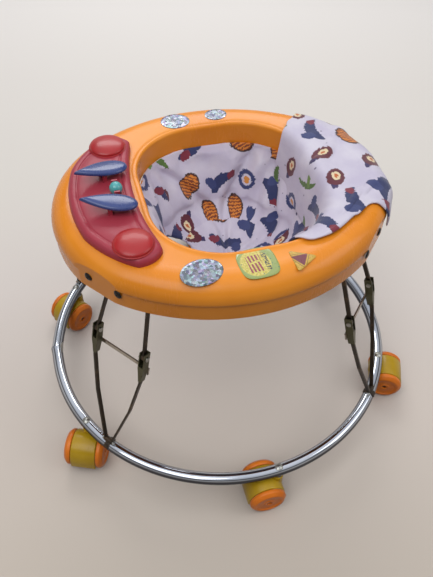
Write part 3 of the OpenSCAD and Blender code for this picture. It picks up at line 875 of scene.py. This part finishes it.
def opening_ring(azimuths, off, z):
    """Points round the seat opening, moved out by off."""
    return [Vector((*opening_at(az, off), z)) * MM for az in azimuths]


class WALKER_OT_tray(bpy.types.Operator):
    """Mould the tray with its shoulder, facets, deck and opening"""
    bl_idname = "walker.tray"
    bl_label = "Tray"

    def execute(self, context):
        azimuths = [i * 1.5 for i in range(240)]
        rings = [tray_ring(azimuths, off, z) for off, z in (
            (-1.7, TRAY_Z0), (-1.6, TRAY_Z0 + 0.8), (-1.6, 366), (-1.6, 375), (-1.6, 381.2), (-1.4, CREASE_Z - 0.8),
            (-0.7, CREASE_Z - 0.1), (-0.15, CREASE_Z + 0.6))]
        rings += [tray_ring(azimuths, off, z)
                  for off, z in arc(-SHOULDER, TRAY_Z1 - SHOULDER, SHOULDER, 4, 90, 13)]
        rings += [tray_ring(azimuths, off, z) for off, z in ((-31, 412.0), (-38, 411.8), (-41, 411.6))]
        rings += [opening_ring(azimuths, off, z) for off, z in (
            (13, 411.6), (9.5, 411.6), (8.0, 411.9), (6.6, 412.5), (4.6, 412.8), (2.6, 412.5), (1.1, 411.5),
            (0.25, 409.8), (0.0, 407.5), (0.0, 398), (0.0, 387), (0.0, 377), (0.0, WELL_Z))]
        tray = loft("tray_moulding", rings)
        flip_if(tray, lambda f: f.normal.z < 0)
        for leg in LEGS:
            self.facet(tray, leg)
        use(tray, "SOLIDIFY", thickness=context.scene.walker_sizes.wall, offset=-1, use_even_offset=True)
        smooth(tray, 38)
        finish(tray, "tray", "tray", "tray_orange", "tray_rim", "tray_deck", "tray_well")
        dress("tray_ribs", "tray")
        dress("top_brackets", "zinc")
        self.screws()
        return {"FINISHED"}

    def facet(self, tray, leg):
        """Cut the edges of one mounting facet and press the wall flat behind them."""
        out = heading(LEGS[leg]).to_3d()
        depth = PAD_D[leg] * MM
        edit(tray)
        bpy.ops.mesh.bisect(plane_co=out * depth, plane_no=out, threshold=1e-6)
        bm = bmesh.from_edit_mesh(tray.data)
        for v in bm.verts:
            over = v.co.dot(out) - depth
            if over > 2e-6:
                v.co -= out * over
        bm.normal_update()
        for e in bm.edges:
            sides = [all(abs(v.co.dot(out) - depth) < 5e-6 for v in f.verts) for f in e.link_faces]
            if len(sides) == 2 and sides[0] != sides[1]:
                e.smooth = False
        bmesh.update_edit_mesh(tray.data)
        clear()

    def screws(self):
        """Round-head cross screws on the facets, with moulded bosses behind."""
        heads, bosses = [], []
        for leg, az in LEGS.items():
            for t in SCREW_T:
                base = rotation("Z", az) @ shift(t * PAD_SIDE[leg], -PAD_D[leg], SCREW_Z) @ rotation("X", 90)
                heads.append(loft("head", turned([
                    (6.2, 0.0), (6.2, 0.4), (5.8, 1.0), (5.0, 1.7), (3.7, 2.3), (2.2, 2.6), (1.5, 2.62),
                    (1.2, 1.4), (0.3, 1.1)], 32, base), "face", "pole"))
                bosses.append(loft("boss", turned([
                    (2.05, -9.0), (5.5, -9.0), (5.5, -2.4), (2.05, -2.4)], 28, base), closed=True))
        finish(smooth(join("screw_heads", *heads), 40), "tray", "black", "black_screw", "tray_screws")
        finish(smooth(join("screw_bosses", *bosses), 40), "tray", "tray", "tray_orange")


# ---- toys

def panel_at(azimuth, off):
    """Point on the toy panel's outline, seen from the panel's middle."""
    d = heading(azimuth)
    centre = Vector((0, PANEL_Y + 2))

    def holds(distance):
        p = centre + d * distance
        if not in_rounded_box(abs(p.x), abs(p.y - PANEL_Y), PANEL_HX + off, PANEL_HY + off, PANEL_R + off * 0.6):
            return False
        if (p - Vector((0, 23))).length > 238 + off or (p - Vector((0, 273))).length < 400 - off:
            return False
        return p.length <= oval_at(math.degrees(math.atan2(p.x, -p.y)), -24 + off)[0].length

    return centre + d * last_inside(holds, 260.0, 36)


class WALKER_OT_panel(bpy.types.Operator):
    """Mould the toy panel with its pods and posts"""
    bl_idname = "walker.panel"
    bl_label = "Toy panel"

    def execute(self, context):
        azimuths = [i * 2.0 for i in range(180)]
        rings = [[Vector((*panel_at(az, off), z)) * MM for az in azimuths] for off, z in (
            (-2.5, 412.1), (0, 412.1), (0.0, 416.6), (-0.5, 418.9), (-1.7, 421.0), (-3.4, 422.7), (-5.6, 423.7),
            (-8.0, 424.0), (-10.6, 424.0), (-11.3, 423.6), (-11.8, 422.9), (-13.0, 422.7), (-13.6, 423.0),
            (-14.2, 423.7), (-15.0, 424.0), (-26, 424.0), (-40, 424.0))]
        panel = loft("toy_board", rings, "open", "face")
        flip_if(panel, lambda f: f.normal.z < 0)
        smooth(panel, 34)
        finish(panel, "tray", "maroon", "maroon_plastic", "toy_panel")
        dome = [(27.2, 0.05), (27.0, 0.8), (26.2, 1.2), (25.6, 1.4), (25.9, 2.0), (25.8, 3.0), (25.0, 4.4),
                (22.9, 5.8), (19.5, 7.2), (15.4, 8.3), (10.6, 9.1), (5.6, 9.5), (2.0, 9.6)]
        pods = [loft("pod", turned(dome, 64, shift(POD_X * side, POD_Y, PANEL_Z)), "face", "pole")
                for side in (-1, 1)]
        finish(smooth(join("toy_domes", *pods), 40), "tray", "darkred", "dark_red_plastic", "toy_pods")
        dress("toy_posts", "maroon")
        dress("toy_pins", "zinc")
        return {"FINISHED"}


def lever_outline(count=72):
    """Leaf outline: pointed outer end, full and rounded towards the seat."""
    points = []
    for i in range(count):
        t = 2 * math.pi * i / count
        s = 0.5 - 0.5 * math.cos(t)
        if s < LEVER_PEAK:
            width = math.sin(math.pi / 2 * s / LEVER_PEAK) ** 0.95
        else:
            width = math.sqrt(max(0.0, 1 - ((s - LEVER_PEAK) / (1 - LEVER_PEAK)) ** 2))
        points.append((LEVER_HALF * (width if t < math.pi else -width), LEVER_OUT + LEVER_LONG * s))
    return points


def lever_pattern():
    """One rocker lever about its own pivot, long way along Y."""
    outline = lever_outline()
    leaf = loft("leaf", [
        [Vector((x * (1 - shrink / 15.0), y * (1 - shrink / 36), z)) * MM for x, y in outline]
        for shrink, z in ((1.6, 3.6), (0.5, 3.9), (0.0, 4.9), (0.1, 6.2), (0.9, 7.6), (2.3, 8.6), (4.2, 9.3),
                          (6.6, 9.7), (8.8, 9.85))], "face", "face")
    boss = loft("boss", turned([(1.6, -7), (4.0, -7), (4.5, -6.5), (4.5, 6.5), (4.0, 7), (1.6, 7)], 36,
                               rotation("Y", 90)), closed=True)
    clear()
    bpy.ops.mesh.primitive_cube_add(size=1, location=(0, 0, 2.4 * MM), scale=(13 * MM, 7.6 * MM, 3.6 * MM))
    block = bpy.context.object
    bpy.ops.object.transform_apply(location=True, rotation=True, scale=True)
    use(block, "BEVEL", width=0.0007, segments=3)
    return smooth(join("lever_pattern", leaf, boss, block), 38)


class WALKER_OT_toys(bpy.types.Operator):
    """Make the rocker levers and the spinning ball"""
    bl_idname = "walker.toys"
    bl_label = "Levers and ball"

    def execute(self, context):
        lever = lever_pattern()
        for side, name in ((1, "left"), (-1, "right")):
            place = (shift(LEVER_X * side, LEVER_Y, LEVER_Z) @ rotation("Z", -LEVER_SPLAY * side)
                     @ rotation("X", -LEVER_TILT))
            finish(copy_of(lever, f"rocker_{name}", place), f"lever_{name}", "navy", "navy_plastic",
                   f"toy_lever_{name}")
        drop(lever)
        half = [(8.65, 0.25), (8.95, 0.5)] + arc(0, 0, BALL_R, 4, 58, 10) + [(3.6, 8.2), (3.0, 8.4), (1.6, 8.0)]
        profile = [(r, -x) for r, x in reversed(half)] + half
        ball = loft("spin_ball", turned(profile, 56, shift(*BALL) @ rotation("Y", 90)), closed=True)
        finish(smooth(ball, 30), "ball", "teal", "teal_plastic", "toy_ball")
        return {"FINISHED"}


# ---- labels

def decal(name, outline):
    """A thin label with a rounded edge lying on the deck; outline in mm."""
    middle = Vector((sum(p[0] for p in outline), sum(p[1] for p in outline))) / len(outline)
    rings = []
    for inset, height in ((0, -0.15), (0, 0.21), (0.25, 0.35), (3.0, 0.35)):
        arms = [Vector(p) - middle for p in outline]
        rings.append([Vector((*(middle + arm * (1 - inset / arm.length)), TRAY_Z1 + height)) * MM for arm in arms])
    return loft(name, rings, "face", "face")


def ellipse(cx, cy, rx, ry, turn, square=2.0, count=56):
    """Super-ellipse outline in mm."""
    points = []
    a = math.radians(turn)
    for i in range(count):
        t = 2 * math.pi * i / count
        x, y = (r * math.copysign(abs(c) ** (2 / square), c) for r, c in ((rx, math.cos(t)), (ry, math.sin(t))))
        points.append((cx + x * math.cos(a) - y * math.sin(a), cy + x * math.sin(a) + y * math.cos(a)))
    return points


def rounded(corners, radius, count=7):
    """Polygon outline in mm with rounded corners."""
    size = len(corners)

    def corner(i):
        """A corner, its directions to its neighbours and half its angle."""
        b = Vector(corners[i % size])
        to_a, to_c = ((Vector(corners[(i + k) % size]) - b).normalized() for k in (-1, 1))
        return b, to_a, to_c, to_a.angle(to_c) / 2

    points = []
    for i in range(size):
        b, to_a, to_c, half = corner(i)
        centre = b + (to_a + to_c).normalized() * radius / math.sin(half)
        end = b + to_c * radius / math.tan(half)
        start = b + to_a * radius / math.tan(half) - centre
        turn = start.angle_signed(end - centre)
        for k in range(count):
            a = -turn * k / (count - 1)
            points.append(tuple(centre + Vector((start.x * math.cos(a) - start.y * math.sin(a),
                                                 start.x * math.sin(a) + start.y * math.cos(a)))))
        after, back, _, half = corner(i + 1)
        points += [tuple(end.lerp(after + back * radius / math.tan(half), k / 6)) for k in range(1, 6)]
    return points


class WALKER_OT_labels(bpy.types.Operator):
    """Lay the foil and printed labels on the deck"""
    bl_idname = "walker.labels"
    bl_label = "Labels"

    def execute(self, context):
        for name, x, y, rx, ry, turn, look in (
                ("foil_left", 165, -73, 22, 28, 12, "foil"), ("foil_right_front", -167, -30, 20, 23, -4, "foil"),
                ("foil_right_rear", -170, 38, 15, 18, 6, "foil"), ("label_left", 167, -1, 26, 25, 2, "label"),
                ("mark_left", 173, 54, 19, 19, 1, "mark")):
            if look == "mark":
                outline = rounded([(156.5, 42.5), (195, 43.5), (174, 76)], 2.5)
            else:
                outline = ellipse(x, y, rx, ry, turn, 3.5 if look == "label" else 2.0)
            obj = decal(name, outline)
            if look != "foil":
                a = math.radians(turn + 90)
                uv_layer(obj, "label", lambda co, _: (
                    ((co.x / MM - x) * math.cos(a) + (co.y / MM - y) * math.sin(a)) / ry,
                    (-(co.x / MM - x) * math.sin(a) + (co.y / MM - y) * math.cos(a)) / rx))
            finish(smooth(obj, 50), "tray", look, None)
        return {"FINISHED"}


# ---- seat

# creases of the pouch: azimuth in radians, lean, depth in mm
CREASES = ((-2.62, 0.5, 9.0), (-1.95, -0.4, 12.0), (-1.22, 0.7, 9.0), (-0.55, -0.3, 7.0),
           (0.35, 0.3, 7.0), (1.05, -0.5, 9.0), (1.8, 0.5, 11.0), (2.5, -0.5, 9.0))


def held(value):
    """The value, kept between 0 and 1."""
    return min(1.0, max(0.0, value))


def seat_surface(azimuth, s):
    """Middle surface of the pouch: s runs from 0 at the hem to 1 at the middle of the floor."""
    r_hem = (opening_at(azimuth, -5.0) - Vector((0, OPEN_Y))).length
    if s < WALL_SHARE:
        k = s / WALL_SHARE
        z = SEAT_TOP - (SEAT_TOP - (SEAT_BOTTOM + POUCH_RISE)) * k
        r = r_hem + (POUCH_R - r_hem) * (k ** 1.25)
    else:
        t = (s - WALL_SHARE) / (1 - WALL_SHARE) * math.pi / 2
        z = SEAT_BOTTOM + POUCH_RISE * (1 - math.sin(t) ** 0.9)
        r = POUCH_R * (1 - (1 - math.cos(t)) ** 0.92)
    return heading(azimuth) * r, z


class WALKER_OT_seat(bpy.types.Operator):
    """Sew the seat pouch and puff its padding"""
    bl_idname = "walker.seat"
    bl_label = "Seat pouch"

    def execute(self, context):
        rings = [[Vector((p.x, p.y + OPEN_Y, z)) * MM
                  for p, z in (seat_surface(k * 4.0, i / 26 * 0.985) for k in range(90))] for i in range(26)]
        pouch = loft("seat_pouch", rings, "open", "pole")
        flip_if(pouch, lambda f: (Vector((0, OPEN_Y * MM, 0.34)) - f.center).dot(f.normal) < 0)
        use(pouch, "SOLIDIFY", thickness=context.scene.walker_sizes.cloth, offset=-1)
        for side in (-1, 1):
            place = (shift(0, OPEN_Y, 0) @ rotation("Z", HOLE_SPLAY * side) @ shift(0, -58, SEAT_BOTTOM + 32)
                     @ rotation("X", HOLE_TILT))
            tool = loft("hole", turned([(HOLE_R, -10), (HOLE_R, 160)], 48, place), "face", "face")
            use(pouch, "BOOLEAN", object=tool, operation="DIFFERENCE", solver="EXACT")
            drop(tool)
        use(pouch, "REMESH", mode="VOXEL", voxel_size=VOXEL * MM)
        puff(pouch, 5.0 * MM, lambda co: co.z > (SEAT_TOP - 5) * MM)
        self.fold(pouch)
        use(pouch, "SUBSURF", levels=1, render_levels=1)
        take(pouch)
        bpy.ops.object.shade_smooth()
        uv_layer(pouch, "cloth", self.cloth_uv)
        finish(pouch, "tray", "cloth", "seat_cloth", "seat_liner")
        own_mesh(pouch)
        return {"FINISHED"}

    def fold(self, pouch):
        """Soft gathers below the hem and slack folds lower down."""
        for v in pouch.data.vertices:
            x, y, z = v.co.x, v.co.y - OPEN_Y * MM, v.co.z
            a = math.atan2(x, -y)
            r = math.hypot(x, y)
            low, high = held((SEAT_TOP * MM - z) / 0.02), held((z - 0.262) / 0.04)
            gather = math.sin(a * 17 + 1.4 * math.sin(a * 5)) * 0.0022 * low * high
            gather *= math.exp(-((SEAT_TOP * MM - z) / 0.075) ** 2)
            slack = noise.noise(Vector((x, y, z)) * 16.0) * 0.0075 * low
            ridge = noise.noise(Vector((x * 30.0, y * 12.0, z * 9.0 + 4.0))) * 0.0032 * low
            push = gather + slack + ridge
            for at, lean, deep in CREASES:
                off = (a - at - lean * (z - 0.32) / 0.1 + math.pi) % (2 * math.pi) - math.pi
                push -= math.exp(-(off / 0.075) ** 2) * deep * MM * low * 0.9
                push += math.exp(-((abs(off) - 0.17) / 0.11) ** 2) * deep * MM * low * 0.35
            if r > 1e-5:
                wall = held((r - 0.05) / 0.04)
                v.co.x -= x / r * push * wall
                v.co.y -= y / r * push * wall
                v.co.z += push * (1 - wall) * 0.8
        pouch.data.update()

    @staticmethod
    def cloth_uv(co, middle):
        """Four sewn side panels and a floor panel."""
        x, y = middle.x, middle.y - OPEN_Y * MM
        if math.hypot(x, y) < 0.075 and middle.z < 0.285:
            return co.x + 0.31, co.y + 0.07
        panel = round(math.atan2(x, -y) / (math.pi / 2))
        a = math.atan2(co.x, -(co.y - OPEN_Y * MM)) - panel * math.pi / 2
        a = (a + math.pi) % (2 * math.pi) - math.pi
        return a * 0.118 + panel * 0.37 + 0.013, -co.z - 0.35 * math.hypot(co.x, co.y - OPEN_Y * MM) + 0.4


# rows of (share of the way out from inside the opening, value)
NEAR_EDGE = [(0.0, 113.0), (0.22, 113.0), (0.40, 119.0), (0.62, 141.0), (0.80, 152.0), (1.0, 152.5)]
FAR_EDGE = [(0.0, 215.0), (0.22, 215.0), (0.55, 219.5), (0.8, 221.0), (1.0, 221.5)]
FLAP_IN = [(0.0, -19.0), (0.08, -16.0), (0.16, -11.5), (0.22, -7.0), (0.27, -1.0), (0.31, 5.5), (0.35, 13.0)]
FLAP_UP = [(0.0, 334.0), (0.08, 362.0), (0.16, 386.0), (0.22, 401.0), (0.27, 410.5), (0.31, 414.4), (0.35, 414.6)]


def along(rows, t):
    """Eased steps through (t, value) rows."""
    for (t0, v0), (t1, v1) in zip(rows, rows[1:]):
        if t <= t1:
            k = (t - t0) / (t1 - t0)
            return v0 + (v1 - v0) * k * k * (3 - 2 * k)
    return rows[-1][1]


def curve(rows, t):
    """Catmull-Rom curve through (t, value) rows."""
    i = max(k for k in range(len(rows) - 1) if rows[k][0] <= t)
    (t0, v0), (t1, v1) = rows[i], rows[i + 1]
    m0 = (v1 - rows[i - 1][1]) / (t1 - rows[i - 1][0]) if i else (v1 - v0) / (t1 - t0)
    m1 = (rows[i + 2][1] - v0) / (rows[i + 2][0] - t0) if i + 2 < len(rows) else (v1 - v0) / (t1 - t0)
    k, w = (t - t0) / (t1 - t0), t1 - t0
    return ((2 * k ** 3 - 3 * k * k + 1) * v0 + (k ** 3 - 2 * k * k + k) * w * m0
            + (3 * k * k - 2 * k ** 3) * v1 + (k ** 3 - k * k) * w * m1)


def opening_beside(az, off):
    """The opening's point that lies at azimuth az about the tray's middle."""
    q = heading(az) * 130.0 - Vector((0, OPEN_Y))
    return opening_at(math.degrees(math.atan2(q.x, -q.y)), off)


def flap_point(u, v):
    """Point under the flap in mm: u across from near to far side, v from inside the opening outwards."""
    az = along(NEAR_EDGE, v) + (along(FAR_EDGE, v) - along(NEAR_EDGE, v)) * u
    wall, n = oval_at(az)
    if v < FLAP_LIP:
        return opening_beside(az, curve(FLAP_IN, v)), curve(FLAP_UP, v)
    if v < FLAP_EDGE:
        return opening_beside(az, 13.0).lerp(wall - n * SHOULDER, (v - FLAP_LIP) / (FLAP_EDGE - FLAP_LIP)), FLAP_Z
    bend = SHOULDER * math.pi / 2
    run = (v - FLAP_EDGE) / (1 - FLAP_EDGE) * (bend + FLAP_DROP)
    if run >= bend:
        return wall + n * FLAP_GAP, TRAY_Z1 - SHOULDER - (run - bend)
    t = math.pi / 2 - run / SHOULDER
    return (wall + n * (-SHOULDER + (SHOULDER + FLAP_GAP) * math.cos(t)),
            TRAY_Z1 - SHOULDER + (SHOULDER + FLAP_GAP) * math.sin(t))


class WALKER_OT_flap(bpy.types.Operator):
    """Turn the seat's rear flap over the rim"""
    bl_idname = "walker.flap"
    bl_label = "Rear flap"

    def execute(self, context):
        clear()
        bpy.ops.mesh.primitive_grid_add(x_subdivisions=84, y_subdivisions=44, size=2)
        flap = bpy.context.object
        flap.name = flap.data.name = "rear_flap"
        shares = [((v.co.x + 1) / 2, (v.co.y + 1) / 2) for v in flap.data.vertices]
        for vert, (u, v) in zip(flap.data.vertices, shares):
            p, z = flap_point(u, v)
            vert.co = Vector((p.x, p.y, z)) * MM
        flap.data.update()
        flip_if(flap, lambda f: f.normal.z < 0)
        for vert, (u, v) in zip(flap.data.vertices, shares):
            x, y, z = vert.co
            on_deck = held((v - 0.2) / 0.1) * held((0.97 - v) / 0.1)
            swell = noise.noise(Vector((x, y, z)) * 21.0) * 0.0034 + noise.noise(Vector((x, y, 0.3)) * 48.0) * 0.0016
            folds = (math.exp(-((u - 0.62 - 0.10 * v) / 0.035) ** 2) * 0.0045
                     + math.exp(-((u - 0.30 + 0.16 * v) / 0.03) ** 2) * 0.0034)
            vert.co += vert.normal * max(0.0, swell + folds + 0.0016) * on_deck
        flap.data.update()
        flap.data.uv_layers.remove(flap.data.uv_layers.active)
        uv_layer(flap, "cloth", self.cloth_uv)
        use(flap, "SOLIDIFY", thickness=0.0028, offset=1)
        use(flap, "SUBSURF", levels=1, render_levels=1)
        take(flap)
        bpy.ops.object.shade_smooth()
        finish(flap, "tray", "cloth", "seat_cloth", "seat_flap")
        return {"FINISHED"}

    @staticmethod
    def cloth_uv(co, middle):
        """Print laid flat over the deck and carried down the outside."""
        x, y, z = co
        return x + 0.02, y + max(0.0, 0.405 - z) * (1 if y > 0.12 and math.hypot(x, y) > 0.17 else -1) + 0.15


# ---- stage

class WALKER_OT_stage(bpy.types.Operator):
    """Set the floor, the lamps and the camera"""
    bl_idname = "walker.stage"
    bl_label = "Stage"

    def execute(self, context):
        colours = context.scene.walker_colours
        clear()
        bpy.ops.mesh.primitive_plane_add(size=14, location=(0, 0, 0))
        floor = bpy.context.object
        floor.name = "floor"
        p = Paint("pale_floor", Roughness=0.9)
        x, y, _ = p.split(p.place())
        reach = x * 0.96 + y * -0.27
        tone = p.ramp(p.span(reach, -1.5, 0.5), (0.0, (0.737, 0.700, 0.665, 1)), (0.25, (0.685, 0.645, 0.602, 1)),
                      (0.5, (0.660, 0.621, 0.571, 1)), (0.675, (0.668, 0.606, 0.562, 1)),
                      (0.8, (0.609, 0.541, 0.486, 1)), (0.95, (0.548, 0.483, 0.416, 1)))
        tone = p.mix(1.0, tone, list(colours.floor), "MULTIPLY")
        p.set(Base_Color=p.mix(p.seen(), "726c66", tone), Specular_IOR_Level=0.0)
        floor.data.materials.append(p.material)

        scene = context.scene
        world = scene.world or bpy.data.worlds.new("studio")
        scene.world = world
        world.use_nodes = True
        p = Paint.over(world.node_tree, "Background")
        _, _, up = p.split(p.node("ShaderNodeTexCoord", out="Generated"))
        sky = p.ramp(up, *((at, (v, v * 1.02, v * 1.06, 1)) for at, v in (
            (0.0, 0.04), (0.50, 0.05), (0.72, 0.66), (1.0, 1.0))))
        # a pale haze low down, for the eye and for what reflects or bends it
        haze = p.span(up, 0.30, 0.42, 1.0, 0.0) * p.seen()
        p.set(Color=p.mix(haze, sky, (0.61, 0.58, 0.55, 1)), Strength=1.15)

        for name, place, target, size, power in (
                ("key", (0.9, -1.0, 2.2), (0, 0, 0.3), (1.7, 1.5), 18),
                ("fill", (0.7, 1.6, 1.6), (0, 0, 0.3), (1.2, 1.0), 8),
                ("back", (-1.9, 0.3, 1.9), (-0.6, 0.1, 0.2), (1.8, 0.6), 20)):
            light = bpy.data.lights.new(name, "AREA")
            light.shape, light.size, light.size_y = "RECTANGLE", size[0], size[1]
            light.energy = power
            lamp = bpy.data.objects.new(name, light)
            lamp.location = place
            lamp.rotation_euler = (Vector(place) - Vector(target)).to_track_quat("Z", "Y").to_euler()
            scene.collection.objects.link(lamp)

        camera = bpy.data.cameras.new("camera")
        camera.sensor_width, camera.lens = 36, LENS
        camera.clip_start, camera.clip_end = 0.02, 50
        eye = bpy.data.objects.new("camera", camera)
        eye.location = EYE
        eye.rotation_euler = [math.radians(a) for a in EYE_TURN]
        scene.collection.objects.link(eye)
        scene.camera = eye
        scene.view_settings.view_transform = "Standard"
        return {"FINISHED"}


class WALKER_PT_panel(bpy.types.Panel):
    bl_idname = "WALKER_PT_panel"
    bl_label = "Baby walker"
    bl_space_type = "VIEW_3D"
    bl_region_type = "UI"
    bl_category = "Walker"

    def draw(self, context):
        for group in (context.scene.walker_sizes, context.scene.walker_colours):
            for name in group.bl_rna.properties.keys():
                if name not in ("rna_type", "name"):
                    self.layout.prop(group, name)
        for operator in STEPS:
            self.layout.operator(operator.bl_idname)


STEPS = (WALKER_OT_stage, WALKER_OT_ring, WALKER_OT_casters, WALKER_OT_legs, WALKER_OT_tray, WALKER_OT_panel,
         WALKER_OT_toys, WALKER_OT_labels, WALKER_OT_seat, WALKER_OT_flap)
CLASSES = (WalkerSizes, WalkerColours, *STEPS, WALKER_PT_panel)


def register():
    for cls in CLASSES:
        bpy.utils.register_class(cls)
    bpy.types.Scene.walker_sizes = bpy.props.PointerProperty(type=WalkerSizes)
    bpy.types.Scene.walker_colours = bpy.props.PointerProperty(type=WalkerColours)


def unregister():
    del bpy.types.Scene.walker_colours
    del bpy.types.Scene.walker_sizes
    for cls in reversed(CLASSES):
        bpy.utils.unregister_class(cls)


def main():
    register()
    for operator in STEPS:
        group, name = operator.bl_idname.split(".")
        result = getattr(getattr(bpy.ops, group), name)()
        if result != {"FINISHED"}:
            raise RuntimeError(f"{operator.bl_idname} did not finish")
    clear()


if __name__ == "__main__":
    main()
